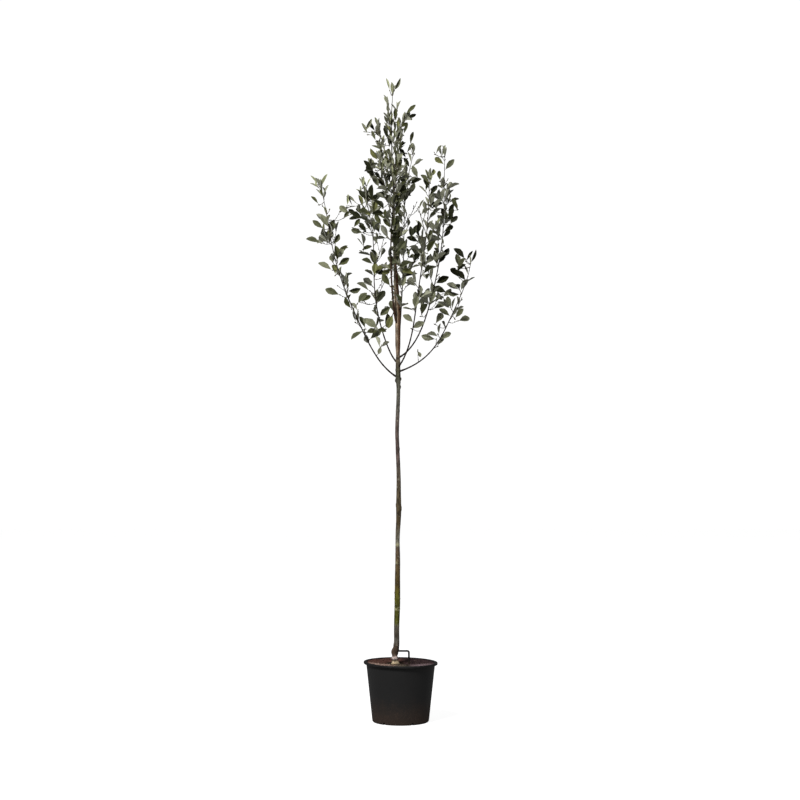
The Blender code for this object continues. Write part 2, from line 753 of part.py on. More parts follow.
    def grow(self, twigs):
        """Spurs by the golden angle, side twigs in place of some, then young wood to the tip."""
        length = sum((b - a).length for a, b in zip(self.stem, self.stem[1:]))
        young = length * YOUNG_FROM
        self.tuft(self.stem)
        turn = self.draw.uniform(0, 2 * math.pi)
        stations = []
        s = FIRST_SPUR
        while s < young:
            stations.append(s)
            s += SPUR_SPACING * self.draw.uniform(*VARIES)
        pitch = len(stations) / (twigs + TWIG_SPREAD)
        twig_places = {round(pitch * (k + 0.5)) for k in range(twigs)}
        for k, s in enumerate(stations):
            turn += GOLDEN
            point, ahead = along_points(self.stem, s)
            if k in twig_places:
                long = TWIG_LENGTH * (1 - TWIG_SHORTENS * s / length)
                if self.twig(point, ahead, turn, long * self.draw.uniform(*VARIES)):
                    continue
            self.spur(point, ahead, turn, SPUR_LEAVES)
        self.single_leaves(self.stem, young, length)


def along_points(points, s):
    """The point at length s along a polyline, and the direction there."""
    for a, b in zip(points, points[1:]):
        stretch = (b - a).length
        if s <= stretch or b is points[-1]:
            return a.lerp(b, s / stretch), (b - a).normalized()
        s -= stretch


def fuse(mass, trunk_cutter):
    """The mass as one closed solid: stem, twigs and leaves joined by one Boolean union."""
    stem = mesh_object(mass.name, *tube(mass.stem, mass.radii, STEM_SIDES), LEAF_GREEN, 0.7)
    boolean(stem, "DIFFERENCE", trunk_cutter)
    apply_modifiers(stem)
    drop_scraps(stem)
    growth = bpy.data.collections.new(f"{mass.name}_growth")
    bpy.context.scene.collection.children.link(growth)
    for twig in mass.twigs:
        mesh_object("twig", *tube(twig.points, twig.radii, TWIG_SIDES), collection=growth)
    for leaf in mass.leaves:
        mesh_object("leaf", *leaf_solid(leaf), collection=growth)
    boolean(stem, "UNION", collection=growth, solver="MANIFOLD")
    apply_modifiers(stem)
    for item in list(growth.objects):
        bpy.data.objects.remove(item, do_unlink=True)
    bpy.data.collections.remove(growth)
    return stem


def plan_masses(placed):
    """Stem of each mass, by name: its limb, points and radii.  All limbs are set in placed, and
    one on the leader turns on round it until it clears those before it."""
    placed.add("trunk", "limb", *trunk_tube(2 * GAP))
    plan = {}
    for name, limb in BOUGHS.items():
        placed.add(f"bough_{name}", "limb", *tube(*limb_stretch(limb, 0, limb.bare), BOUGH_SIDES))
        points, radii = limb_stretch(limb, limb.bare + GAP, limb.length)
        plan[f"foliage_{name}"] = (limb, points, radii)
        placed.add(f"foliage_{name}", "stem", *tube(points, radii, STEM_SIDES))
    for name, limb in leader_limbs().items():
        outside = trunk_at(limb.foot)[1] / math.sin(math.radians(limb.lean_foot))
        for _ in range(TRIES):
            points, radii = limb_stretch(limb, outside, limb.length)
            roomy = tube(points, [r + BLADE_CLEAR for r in radii], STEM_SIDES)
            if not placed.touches(*roomy, lambda owner, kind: owner != "trunk"):
                break
            limb.azimuth += TURN_ON
        placed.add(name, "stem", *tube(points, radii, STEM_SIDES))
        plan[name] = (limb, *limb_stretch(limb, 0, limb.length))
    top = trunk_middle(TRUNK_STATIONS[-1][0])
    tip = [top + UP * GAP, top + UP * (GAP + TIP_STEM)]
    plan["leader_tip"] = (None, tip, [TRUNK_STATIONS[-1][2], TWIG_TIP_RADIUS])
    return plan


def grow_mass(name, limb, points, radii, placed, space):
    """Grow one mass by the rule for its kind."""
    mass = Mass(name, limb.seed if limb else 1, points, radii, placed, space)
    if limb is None:
        mass.tuft(points)
    elif name.startswith("leader_spur"):
        mass.rosette(SPUR_ROSETTE)
    elif name.startswith("leader_shoot"):
        mass.tuft(points)
        mass.single_leaves(points, LEADER_BARE, limb.length)
    else:
        mass.grow(limb.twigs)
    return mass


def grow_crown():
    """All masses, grown one after another so that each keeps clear of those before it."""
    placed = Placed()
    plan = plan_masses(placed)
    space = Space({name: points for name, (_, points, _) in plan.items()})
    return [grow_mass(name, *entry, placed, space) for name, entry in plan.items()]


def main():
    remove_all_objects()
    build_pot()
    build_compost()
    build_trunk()
    trunk_cutter = mesh_object("trunk_cutter", *trunk_tube(GAP))
    trunk_cutter.hide_render = True
    trunk_cutter.display_type = "WIRE"
    build_peg(trunk_cutter)
    for name, limb in BOUGHS.items():
        build_bough(name, limb, trunk_cutter)
    for mass in grow_crown():
        fuse(mass, trunk_cutter)
    bpy.data.objects.remove(trunk_cutter, do_unlink=True)


main()
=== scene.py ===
"""Looks of the potted whitebeam: bark, boughs, twigs, leaves, buds, nursery pot and compost.

The crown grows here by the same seeded rule as the solids, and a second, finer growth fills in
between with small side twigs and leaves close to life size, inside the same reach.
"""

import math
import random
from dataclasses import dataclass

import bmesh
import bpy
import numpy as np
from mathutils import Matrix, Vector, noise
from mathutils.bvhtree import BVHTree
from mathutils.kdtree import KDTree


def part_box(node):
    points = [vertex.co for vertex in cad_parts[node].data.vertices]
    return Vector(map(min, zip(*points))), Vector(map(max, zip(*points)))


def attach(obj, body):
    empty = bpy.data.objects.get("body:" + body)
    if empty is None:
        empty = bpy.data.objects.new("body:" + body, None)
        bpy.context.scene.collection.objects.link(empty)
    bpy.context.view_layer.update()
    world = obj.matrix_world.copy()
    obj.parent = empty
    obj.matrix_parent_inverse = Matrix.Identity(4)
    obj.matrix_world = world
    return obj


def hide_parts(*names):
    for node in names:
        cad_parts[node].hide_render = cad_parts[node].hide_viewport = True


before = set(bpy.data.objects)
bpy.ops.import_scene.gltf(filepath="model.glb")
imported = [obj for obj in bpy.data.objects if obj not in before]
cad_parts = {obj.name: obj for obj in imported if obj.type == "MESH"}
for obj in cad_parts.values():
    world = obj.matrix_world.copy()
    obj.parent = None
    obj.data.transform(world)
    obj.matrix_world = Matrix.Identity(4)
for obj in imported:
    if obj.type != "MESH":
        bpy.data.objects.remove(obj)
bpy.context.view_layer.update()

UP = Vector((0, 0, 1))
GAP = 0.0003                    # that the solids keep between them
GOLDEN = math.radians(137.5)    # turn from one spur to the next


def aims(*rows):
    """Rows of x and z in millimetres, degrees and a number of leaves, with those in metres."""
    return [(x / 1000, z / 1000, slant, *(leaves or (1,))) for x, z, slant, *leaves in rows]


# ---- view
EYE = Vector((-0.0026, -8.0, 1.286))
FOCAL_PIXELS = 2000             # focal length in pixels of a picture 800 wide
PICTURE = 800
SENSOR = 36.0                   # millimetres
AMBIENT = 0.19                  # of the pale surroundings, on what they light
BACKDROP = 1.05                 # of the same, as the camera sees them
# name, place, what it aims at, size in metres and watts
LIGHTS = (("key", (-2.6, -4.4, 5.4), (0, 0, 1.4), 1.6, 500),
          ("fill", (3.8, -3.2, 2.4), (0, 0, 1.3), 3.0, 25))
FLOOR_SIZE = (40, 24, 1)

# ---- pot and compost
POT_FOOT_RADIUS = 0.1137
POT_TOP_RADIUS = 0.1374
RIM_HEIGHT = 0.011
WALL = 0.0022
POT_FLOOR = 0.003
FOOT_ROUNDING = 0.0075
POT_STEPS = 120
SLOTS = 6
SLOT_WIDTH = 0.011
SLOT_HEIGHT = 0.009
SLOT_TURN = math.radians(-65.3)
COMPOST_STEPS = 132
COMPOST_RINGS = 34
COMPOST_WALL = 0.2260           # height of the compost where it meets the pot's wall
COMPOST_CREST = 0.0015          # from the top of its solid down to the even heap
LUMP = 0.0034                   # height of the lumps in the compost
CHIPS = 620
GRAINS = 900
CHIP_MARGIN = 0.006             # clear of the wall, and of the stem's middle
CHIP_CLEAR = 0.022
CHIP_WIDE = (0.25, 0.7)         # of its length
CHIP_THICK = (0.12, 0.3)
CHIP_LEAN = 0.45
CHIP_ROLL = 0.35
CHIP_RISE = 0.06
CALM = 0.6                      # how much the lumps sink beside the stem
CALM_AREA = 0.0006
# The pot's mouth and the compost stand higher and lean here, and are level in the solids
MOUTH_LIFT = 0.0042
MOUTH_LEAN = 0.016              # metres of fall per metre to the right
HEAP_LIFT = 0.0028              # beside the trunk
HEAP_WALL_LIFT = 0.0104
ROD_RADIUS = 0.0025
ROD_FULLER = 1.5                # drawn thicker than its solid
ROD_ELBOW = 0.006

# ---- trunk
# height, sideways offset, radius: flare, neck, graft, clean stem, knuckle of boughs, leader
TRUNK_STATIONS = (
    (0.2288, -0.0228, 0.0180), (0.2370, -0.0228, 0.0142), (0.2440, -0.0232, 0.0122),
    (0.2530, -0.0242, 0.0132), (0.2620, -0.0236, 0.0106), (0.2710, -0.0228, 0.0132),
    (0.2850, -0.0214, 0.0134), (0.3000, -0.0184, 0.0110), (0.3240, -0.0170, 0.0100),
    (0.5000, -0.0146, 0.0106), (0.6200, -0.0146, 0.0098), (0.7200, -0.0160, 0.0085),
    (0.8500, -0.0106, 0.0095), (0.9500, -0.0100, 0.0080), (1.1400, -0.0146, 0.0078),
    (1.3300, -0.0090, 0.0078), (1.3750, -0.0100, 0.0100), (1.4350, -0.0106, 0.0094),
    (1.4660, -0.0106, 0.0082), (1.5120, -0.0112, 0.0106), (1.6200, -0.0106, 0.0110),
    (1.7000, -0.0160, 0.0104), (1.7700, -0.0186, 0.0090), (1.8500, -0.0240, 0.0064),
    (2.0800, -0.0270, 0.0036), (2.2400, -0.0350, 0.0026), (2.4200, -0.0366, 0.0018),
    (2.5020, -0.0330, 0.0013),
)
TRUNK_FOOT, TRUNK_TOP = TRUNK_STATIONS[0][0], TRUNK_STATIONS[-1][0]
TRUNK_DEPTH = 0.010             # how far back of the pot's middle the foot stands
TRUNK_CENTRED = 1.3             # height where it has come in over the pot's middle
STEM_X, STEM_Y = TRUNK_STATIONS[0][1], TRUNK_DEPTH
TRUNK_SIDES = 8
TRUNK_STEP = 0.045
FLARE_STEP = 0.008
FLARE_TOP = 0.33
ROOT_LOBES = 3
ROOT_LOBE_DEPTH = 0.16
ROOT_LOBE_FADE = 0.012
ROOT_LOBE_TURN = 0.6
BARK_SIDES = 40
BARK_STEP = 0.0034              # between rings of the bark's mesh

# height, azimuth in degrees (front is -90), spread, how far it stands out: healed side shoots
TRUNK_KNOTS = (
    (0.2785, -160, 0.0080, 0.0024), (0.2840, -30, 0.0070, 0.0020),
    (0.3830, -60, 0.0060, 0.0014), (0.5150, 150, 0.0060, 0.0016),
    (0.6380, -100, 0.0070, 0.0017), (0.7060, -75, 0.0060, 0.0015), (0.8520, 0, 0.0085, 0.0022),
    (0.8660, 175, 0.0065, 0.0016), (0.9820, -120, 0.0055, 0.0012),
    (1.0900, -20, 0.0060, 0.0015), (1.2420, -90, 0.0050, 0.0012), (1.3380, -8, 0.0052, 0.0034),
    (1.3640, 186, 0.0056, 0.0046), (1.3700, -6, 0.0058, 0.0044), (1.3850, -95, 0.0060, 0.0024),
    (1.4060, -140, 0.0060, 0.0022), (1.6730, -100, 0.0060, 0.0026),
    (1.6540, -5, 0.0044, 0.0030), (1.7600, 170, 0.0046, 0.0020),
)
# height, and how far the bark of the clear stem stands out and to the right there
STEM_FULLNESS = (
    (0.275, 0.0000, 0.0000), (0.310, 0.0011, 0.0012), (0.390, 0.0008, 0.0004),
    (0.480, 0.0008, 0.0014), (0.560, 0.0006, 0.0018), (0.680, 0.0002, 0.0037),
    (0.780, 0.0002, 0.0036), (0.860, 0.0013, 0.0026), (0.930, 0.0009, 0.0022),
    (1.030, 0.0001, 0.0020), (1.100, 0.0000, 0.0015), (1.160, 0.0000, 0.0000),
)
# height, width, how far it stands out: old bud rings
TRUNK_RINGS = (
    (0.4500, 0.0022, 0.0007), (0.4900, 0.0022, 0.0008), (0.5600, 0.0016, 0.0004),
    (0.6700, 0.0016, 0.0004), (0.7900, 0.0018, 0.0005), (1.0300, 0.0018, 0.0005),
    (1.2420, 0.0024, 0.0008), (1.3560, 0.0030, 0.0010), (1.8900, 0.0020, 0.0005),
)

# ---- boughs
BOUGH_SIDES = 6
LIMB_STEP = 0.035               # between the points that growth is worked out on
PATH_STEP = 0.005
SWAY_WAVES = 1.5
FOOT_SWELL = 0.55
FOOT_SWELL_FADE = 0.018
FOOT_SHARE = 0.75
LIMB_BARK_SIDES = 16
LIMB_BARK_STEP = 0.0042
NODE_SPACING = 0.031            # between the leaf scars on a limb
FIRST_SCAR = 0.02
NODE_SWELL = 0.16
NODE_HALF = 0.0032              # half length of the swelling at a scar
LIMB_BARK_THICK = 0.0011
LIMB_BARK_ROUGH = 0.16          # of that thickness


@dataclass
class Limb:
    """One tapering limb: degrees for its directions, metres for its lengths."""
    foot: float                 # height where it leaves the trunk
    azimuth: float
    length: float
    lean_foot: float            # lean from the upright at the foot
    lean_tip: float
    turn: float                 # length over which the lean eases
    drift: float = 0.0
    sway: float = 0.0
    phase: float = 0.0
    bare: float = 0.0
    radius: float = 0.0031
    tip_radius: float = 0.0011
    twigs: int = 0
    seed: int = 1


BOUGHS = {
    "left_low": Limb(1.375, 180, 0.840, 62, 12.5, 0.180, 0, 4.0, 0.55, 0.24, twigs=2, seed=40),
    "left_inner": Limb(1.433, 125, 0.780, 70, 8, 0.094, 16, 7.8, -0.10, 0.20, twigs=3, seed=35),
    "right_front": Limb(1.417, -55, 0.785, 52, 7, 0.172, 2, 4.5, 0.35, 0.23, twigs=2, seed=18),
    "right_back": Limb(1.454, 35, 0.890, 68, 2, 0.200, -2, 3.3, 0.53, 0.24, twigs=3, seed=13),
    "right_low": Limb(1.399, -5, 0.545, 70, 1, 0.310, 20, 4.5, 0.10, 0.15, twigs=1, seed=4),
    "front": Limb(1.590, -130, 0.650, 60, 12, 0.018, 90, 0.0, 0.0, 0.19, 0.0042,
                  twigs=2, seed=22),
    "back": Limb(1.490, 84, 0.760, 58, 8, 0.150, -6, 4.0, 0.70, 0.22, twigs=2, seed=14),
}

# ---- leader
LEADER_SHOOTS = 12
SHOOTS_LOW = 1.960
SHOOTS_HIGH = 2.430
SHOOT_LONG = 0.265
SHOOT_SHORT = 0.040
SHOOT_EASE = 1.3
SHOOT_LEAN = 34
SHOOT_CLOSING = 0.3
SHOOT_LEAN_TIP = 9
SHOOT_TURN = 0.120
SHOOT_RADIUS = 0.0018
SHOOT_AZIMUTH = 90
SHOOT_SEED = 3

LEADER_SPURS = 14
SPURS_LOW = 1.640
SPURS_HIGH = 2.150
SPUR_ROSETTE = 5
LEADER_SPUR = 0.034
LEADER_SPUR_LEAN = 55
SPUR_AZIMUTH = 300
SPUR_SEED = 5

LEADER_BARE = 0.034
TURN_ON = 40
TIP_STEM = 0.008

# ---- spurs, twigs and leaves
VARIES = (0.85, 1.15)
FIRST_SPUR = 0.020
SPUR_SPACING = 0.044
SPUR_LENGTH = 0.016
SPUR_LONGER = (0.9, 1.4)
SPUR_RADIUS = 0.0015
SPUR_TAPER = 0.8
SPUR_LIFT = 1.0
SPUR_LEAVES = 4
SPUR_ROOTS = (0.55, 0.95)
TUFT_LEAVES = 4
TUFT_ROOTS = (0.008, 0.003)
ROSETTE_END = 0.002
LEAF_SPACING = 0.029
LEAF_STOP = 0.012
YOUNG_FROM = 0.80
TWIG_LENGTH = 0.170
TWIG_SHORTENS = 0.4
TWIG_SPREAD = 0.3
TWIG_RADIUS = 0.0016
TWIG_TIP_RADIUS = 0.0010
TWIG_LEAN = 38
TWIG_LIFT = 0.12
TWIG_BARE = 0.030
STEM_SIDES = 5
TWIG_SIDES = 3

LEAF_LENGTH = 0.064
LEAF_WIDTH = 0.031
LEAF_THICK = 0.0009
LEAF_SHOULDER = (0.36, 0.34)
LEAF_WAIST = (0.68, 0.46)
LEAF_CREST = 0.52
LEAF_DROOP = 0.05
LEAF_SIZES = (0.84, 1.12)
LEAF_SLIMNESS = (0.86, 1.08)
YOUNG_SIZE = 0.86
YOUNG_SLIMNESS = 0.80
LEAF_SPREAD = (26, 64)
YOUNG_SPREAD = (24, 50)
TUFT_SPREAD = (10, 32)
LEAF_STRAY = 0.3
LEAF_ROLL = 0.35
TRIES = 5
REACH = 0.125
SHARE = 0.016
LEAF_HEART = 0.6
BLADE_CLEAR = 0.0010
BLADE_START = 0.26

# ---- finer growth
FINE_SPACING = 0.024            # between the small side twigs of a stem
FINE_LONG = (0.010, 0.042)      # their length
FINE_RADIUS = 0.0011
FINE_TIP_RADIUS = 0.0008
FINE_LEAVES = (2, 4)
FINE_SIZE = 0.86                # of a full leaf
FINE_SEED = 7
FINE_FORWARD = (0.5, 1.2)       # how much of the stem's own direction they take
FINE_LIFT = 0.4
FINE_BEND = (0.1, 0.5)          # how much more they turn up from half way
FINE_ROOTS = (0.006, 0.001)
# Sprays that reach out into gaps: x and z of their middle as seen from the front, in
# millimetres, the degrees that their leaves point at there, and how many leaves if not one
REACHES = aims(
    (-125, 1591, 150, 3), (244, 1844, 64, 3), (-194, 2034, 150, 3), (207, 2045, 64, 4),
    (-65, 1598, 100), (-126, 2221, 106, 3), (-86, 2080, 120, 3), (85, 1650, 80),
    (-64, 2355, 117, 2), (52, 2171, 51, 2), (-170, 1970, 155, 2), (257, 1608, 12),
    (-78, 1704, 60), (-113, 2343, 120), (-218, 1672, 133), (-90, 1978, 103), (-105, 1547, 43),
    (-171, 1556, 200), (183, 1863, 35), (-348, 1919, 172), (-270, 1709, 173), (24, 2236, 105),
    (45, 2334, 74), (-22, 2383, 92), (155, 1657, 15), (-186, 1726, 6), (69, 1586, 32),
    (-346, 2088, 135), (-153, 1690, 45), (-232, 1901, 35), (36, 1616, 145), (153, 2293, 60),
    (35, 2440, 50), (-327, 1990, 135), (187, 1977, 40), (184, 1531, 30), (-114, 2116, 99, 2),
    (211, 1714, 165), (154, 1612, 55), (115, 1537, 164), (12, 2279, 113), (136, 2194, 60),
    (150, 2189, 108), (136, 2124, 48), (-146, 2370, 123), (210, 2071, 123, 2),
    (-131, 1847, 132, 2), (60, 1969, 67, 2), (-159, 2083, 108), (-105, 2157, 136),
    (-111, 2386, 111), (-108, 2230, 109), (-175, 1962, 165), (-152, 1598, 114),
    (-226, 2042, 150), (-296, 1818, 149), (233, 1635, 53), (159, 1764, 21), (-138, 1693, 34),
    (86, 2176, 128), (157, 2244, 127), (52, 2128, 54), (-63, 2405, 111), (242, 1872, 128),
    (120, 1897, 59), (-234, 1850, 62), (61, 2198, 109), (-91, 2007, 123), (-171, 1997, 49),
    (221, 1798, 121), (180, 1949, 45), (-79, 1794, 178), (-101, 2398, 110), (-134, 2386, 70),
    (-62, 1750, 140), (-54, 1642, 228), (-46, 1607, 238), (183, 1646, 144), (69, 1971, 88),
    (-233, 1874, 55), (187, 2228, 65), (-149, 1730, 162), (99, 2148, 113), (-22, 2425, 95),
    (-45, 2402, 106), (2, 2400, 66, 2), (-30, 2362, 98), (-60, 2330, 108, 2), (22, 2372, 66),
    (-83, 2300, 112), (1, 2318, 82), (-40, 2283, 100, 2), (34, 2300, 68), (-100, 2268, 112),
    (-62, 2246, 100, 2), (2, 2240, 88), (-26, 2196, 96, 2), (-110, 2190, 118),
    (-308, 1990, 120), (-288, 1990, 95, 2), (-262, 1975, 65), (-302, 1943, 112),
    (-283, 1952, 88, 2), (-248, 1930, 52), (-231, 1892, 58), (-264, 1890, 105),
    (-264, 1814, 98), (-150, 2105, 122), (-126, 2113, 96, 2), (-100, 2100, 70),
    (-138, 2064, 112), (-106, 2060, 80, 2), (-150, 2044, 152), (247, 1791, 115),
    (-135, 1897, 23), (143, 2061, 25), (48, 1923, 166), (208, 2014, 63), (161, 1724, 162),
    (171, 1845, 54), (-64, 1993, 135), (190, 2030, 110, 2),
)
# The same from the bough that stands in front of the leader
FRONT_REACHES = aims(
    (-59, 1802, 205), (21, 1804, 5), (13, 1830, 40), (17, 1762, 255), (-30, 1840, 150),
    (-10, 1862, 85), (-30, 1885, 130), (0, 1895, 55), (-18, 1920, 105), (-8, 1945, 80),
    (-34, 1962, 140), (2, 1975, 45), (-16, 1995, 95), (-24, 2030, 110), (-8, 2045, 65),
    (-16, 2085, 90),
)
# Slender young leaves at the tips: x and z of their middle, in metres, and degrees
WISPS = (
    (-0.0500, 2.552, 103), (-0.0140, 2.546, 66), (-0.0370, 2.528, 92),
    (-0.3278, 2.136, 105), (-0.3090, 2.156, 70), (-0.3530, 2.167, 140),
    (-0.1554, 2.158, 95), (-0.2170, 2.091, 97), (0.1560, 2.287, 117),
    (0.1746, 2.287, 71), (0.1094, 2.182, 108), (0.1274, 2.180, 73),
    (0.2814, 1.864, 50), (0.3000, 1.858, 58),
)
STRAYS = ((-0.082, 1.488, 253), (0.071, 1.467, 279))    # small pale leaves low on the boughs
STRAY_SIZE = 0.55
WISP_SLIMNESS = 0.7
SLENDER_ABOVE = 2.3             # height above which aimed leaves are as slim as wisps
REACH_RADIUS = 0.0010
REACH_DEPTH = 0.03              # how far a reach strays towards or away from the front
REACH_HALF = 0.46               # of a leaf, from its root to the middle that is aimed
REACH_BOW = 0.14                # sag of the twig, as a share of its length
REACH_SHORT = 0.012             # a shorter twig is left out and its leaf sits on the limb
REACH_LEAF_STEP = 0.012         # between the leaves of one reach
REACH_ASIDE = (10, 26)          # degrees that a single leaf strays, and one of several
FACE_SPREAD = 0.3               # to the sides of the front, and the rise with its own spread
FACE_RISE = (0.3, 0.4)
LEAN_SPREAD = 0.2               # towards or away from the front, and more at each try
LEAN_WIDENS = 0.05
REACH_RISE = 0.02               # how far below its middle a reach would best leave its limb
REACH_STEP = 0.012              # between the places on a limb that a reach may leave from
BOUGH_REACH_FOOT = 0.03         # along a bough, and along a shoot or spur, to the first of them
SHOOT_REACH_FOOT = 0.005
LEADER_FROM = 1.6               # height of the first on the leader, and how many there
LEADER_POINTS = 60
OPEN_AT = (0.45, 0.70, 0.95)    # places along a leaf that keep out of the openings

# Openings that let the sky through: x and z as seen from the front, half length and half
# width, all in millimetres, and slant in degrees
OPENINGS = (
    (-265, 1755, 58, 19, 128), (51, 2081, 53, 25, 56), (293, 1824, 41, 22, 52),
    (23, 1703, 32, 30, 126), (-139, 1656, 34, 26, 41), (259, 1695, 34, 27, 61),
    (196, 1919, 33, 26, 67), (-83, 1762, 37, 24, 49), (-208, 1595, 31, 20, 42),
    (173, 1799, 31, 23, 13), (192, 2182, 31, 20, 96), (168, 1495, 29, 17, 117),
    (78, 2033, 27, 15, 89), (197, 1575, 24, 16, 51), (156, 2229, 32, 22, 32),
    (-222, 1828, 36, 13, 80), (39, 1973, 30, 12, 17), (20, 1851, 33, 10, 158),
    (52, 2231, 49, 11, 65), (13, 2000, 19, 12, 32), (26, 2353, 25, 11, 62),
    (-5, 2430, 23, 14, 69), (-298, 2149, 19, 12, 24), (68, 2282, 23, 11, 174),
    (-86, 1891, 22, 11, 32), (-278, 2066, 25, 9, 80), (-140, 1914, 16, 14, 108),
    (-303, 2088, 23, 12, 40), (226, 1768, 17, 11, 134), (-128, 2310, 18, 12, 169),
    (-72, 2444, 23, 14, 129), (-244, 1959, 42, 10, 50), (-236, 1920, 20, 11, 35),
    (136, 2288, 22, 13, 126), (-82, 1656, 25, 10, 98), (137, 1574, 17, 14, 22),
    (-201, 2004, 18, 12, 57), (137, 2149, 24, 14, 23), (225, 1859, 17, 10, 82),
    (46, 2050, 30, 11, 48), (-285, 1860, 29, 8, 110), (65, 1904, 20, 11, 160),
    (-67, 1940, 16, 12, 36), (12, 1852, 22, 13, 140), (120, 2262, 37, 18, 70),
    (-275, 1725, 43, 12, 168), (-154, 1707, 44, 16, 22), (-233, 1951, 21, 12, 171),
    (40, 2459, 19, 11, 30), (19, 1627, 16, 11, 4), (-65, 1855, 36, 16, 8),
    (-347, 1945, 33, 14, 29), (-288, 1728, 22, 12, 172), (-332, 2042, 33, 15, 143),
    (76, 2027, 23, 17, 135), (183, 1788, 22, 11, 179), (-192, 1752, 34, 9, 44),
    (173, 1623, 28, 13, 138), (-212, 1883, 26, 11, 89), (-116, 1600, 25, 11, 64),
    (-186, 2079, 27, 13, 67), (-253, 2035, 22, 15, 96), (228, 1874, 34, 16, 84),
    (168, 1639, 17, 12, 172), (-198, 1976, 27, 11, 63), (-222, 2061, 22, 11, 142),
    (-312, 1838, 20, 11, 32), (-132, 2423, 16, 11, 137), (-174, 2371, 21, 8, 155),
    (-191, 1545, 19, 9, 79),
)
TRUE_SIZE = 0.94                # a drawn leaf's share of the length that the rule keeps free
YOUNG_SHARE = 0.8               # of the young leaves that are still silvery
YOUNG_SLIM = 0.82
OWN_TINT = 0.15                 # share of leaves with another tint than their spray
HIGH_UP = (1.55, 2.25)          # between these heights leaves turn shorter, slimmer, steeper
LIFT_LOW, LIFT_GAIN = 0.10, 0.28    # how much they are turned up at the foot, and more above
SIZE_LOW, SIZE_LOSS = 1.03, 0.11
WIDE_LOW, WIDE_LOSS = 0.94, 0.16
THIN_FROM, THIN_TO, THINNED = 1.60, 2.08, 0.34      # heights, and share of leaves left out
BLADE_MIDDLE = 0.6              # place along a leaf that keeps out of the openings


# ==== Small helpers ====

def select_only(item):
    for other in bpy.context.selected_objects:
        other.select_set(False)
    item.select_set(True)
    bpy.context.view_layer.objects.active = item


def apply_modifiers(item):
    select_only(item)
    for modifier in list(item.modifiers):
        bpy.ops.object.modifier_apply(modifier=modifier.name)


def shade_by_angle(item, degrees):
    item.data.shade_smooth()
    item.data.set_sharp_from_angle(angle=math.radians(degrees))


def settle(item, name, material, slot, *nodes):
    """Name a finished piece, give it its material, hang it under the root body and hide the
    solids it stands for.
    """
    item.name = name
    item.data.name = name
    if material:
        item.data.materials.clear()
        item.data.materials.append(material)
    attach(item, "root")
    if nodes:
        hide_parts(*nodes)


def eased(value, low, high):
    t = min(max((value - low) / (high - low), 0.0), 1.0)
    return t * t * (3 - 2 * t)


def between(start, end, share):
    return start + (end - start) * share


def eased_row(rows, height):
    """The numbers of a table at a height, eased between the rows below and above it."""
    for low, high in zip(rows, rows[1:]):
        if height <= high[0]:
            break
    t = eased(height, low[0], high[0])
    return [between(a, b, t) for a, b in zip(low[1:], high[1:])]


def as_array(vertices):
    return np.array([tuple(v) for v in vertices])


def length_of(points):
    return sum((b - a).length for a, b in zip(points, points[1:]))


def squared(direction, axis):
    """The part of a direction that is square to an axis, one unit long."""
    return (direction - axis * direction.dot(axis)).normalized()


def sideways(axis, turn):
    """A direction square to an axis, at a turn round it."""
    return Matrix.Rotation(turn, 3, axis) @ axis.orthogonal().normalized()


def golden_steps(draw, start, end, spacing):
    """Uneven steps along a stem, each with a turn that goes on by the golden angle."""
    turn = draw.uniform(0, 2 * math.pi)
    s = start
    while s < end:
        turn += GOLDEN
        yield s, turn
        s += spacing * draw.uniform(*VARIES)


def frames_along(points):
    """A direction and two crosswise axes at each point, carried along without twist."""
    frames = []
    across = None
    for k, point in enumerate(points):
        before = points[max(k - 1, 0)]
        after = points[min(k + 1, len(points) - 1)]
        ahead = (after - before).normalized()
        if across is None:
            across = ahead.orthogonal().normalized()
        across = squared(across, ahead)
        frames.append((ahead, across, ahead.cross(across)))
    return frames


def tube(points, radii, sides, widen=None):
    """Vertices and faces of a closed tube; widen(k, angle) scales the radius of ring k."""
    vertices = []
    faces = []
    for k, (_, across, other) in enumerate(frames_along(points)):
        for side in range(sides):
            angle = 2 * math.pi * side / sides
            radius = radii[k] * (widen(k, angle) if widen else 1.0)
            spoke = across * math.cos(angle) + other * math.sin(angle)
            vertices.append(points[k] + spoke * radius)
    for k in range(len(points) - 1):
        low = k * sides
        high = low + sides
        for side in range(sides):
            n = (side + 1) % sides
            faces.append((low + side, low + n, high + n, high + side))
    faces.append(tuple(reversed(range(sides))))
    faces.append(tuple(range(len(vertices) - sides, len(vertices))))
    return vertices, faces


# ==== The growing rule, as in the solids ====

def trunk_at(height):
    """Middle and radius of the trunk at a height, eased between its stations."""
    height = min(max(height, TRUNK_FOOT), TRUNK_TOP)
    x, radius = eased_row(TRUNK_STATIONS, height)
    depth = TRUNK_DEPTH * (1 - eased(height, TRUNK_FOOT, TRUNK_CENTRED))
    return Vector((x, depth, height)), radius


def trunk_middle(height):
    return trunk_at(height)[0]


def root_lobes(height, angle):
    fade = math.exp(-(height - TRUNK_FOOT) / ROOT_LOBE_FADE)
    return 1 + ROOT_LOBE_DEPTH * fade * math.cos(ROOT_LOBES * angle + ROOT_LOBE_TURN)


def trunk_tube(clearance=0.0):
    heights = [TRUNK_FOOT]
    while heights[-1] < TRUNK_TOP:
        step = FLARE_STEP if heights[-1] < FLARE_TOP else TRUNK_STEP
        heights.append(min(heights[-1] + step, TRUNK_TOP))
    points = [trunk_middle(h) for h in heights]
    radii = [trunk_at(h)[1] + clearance for h in heights]
    points[0] -= UP * clearance
    points[-1] += UP * clearance
    return tube(points, radii, TRUNK_SIDES, lambda k, angle: root_lobes(heights[k], angle))


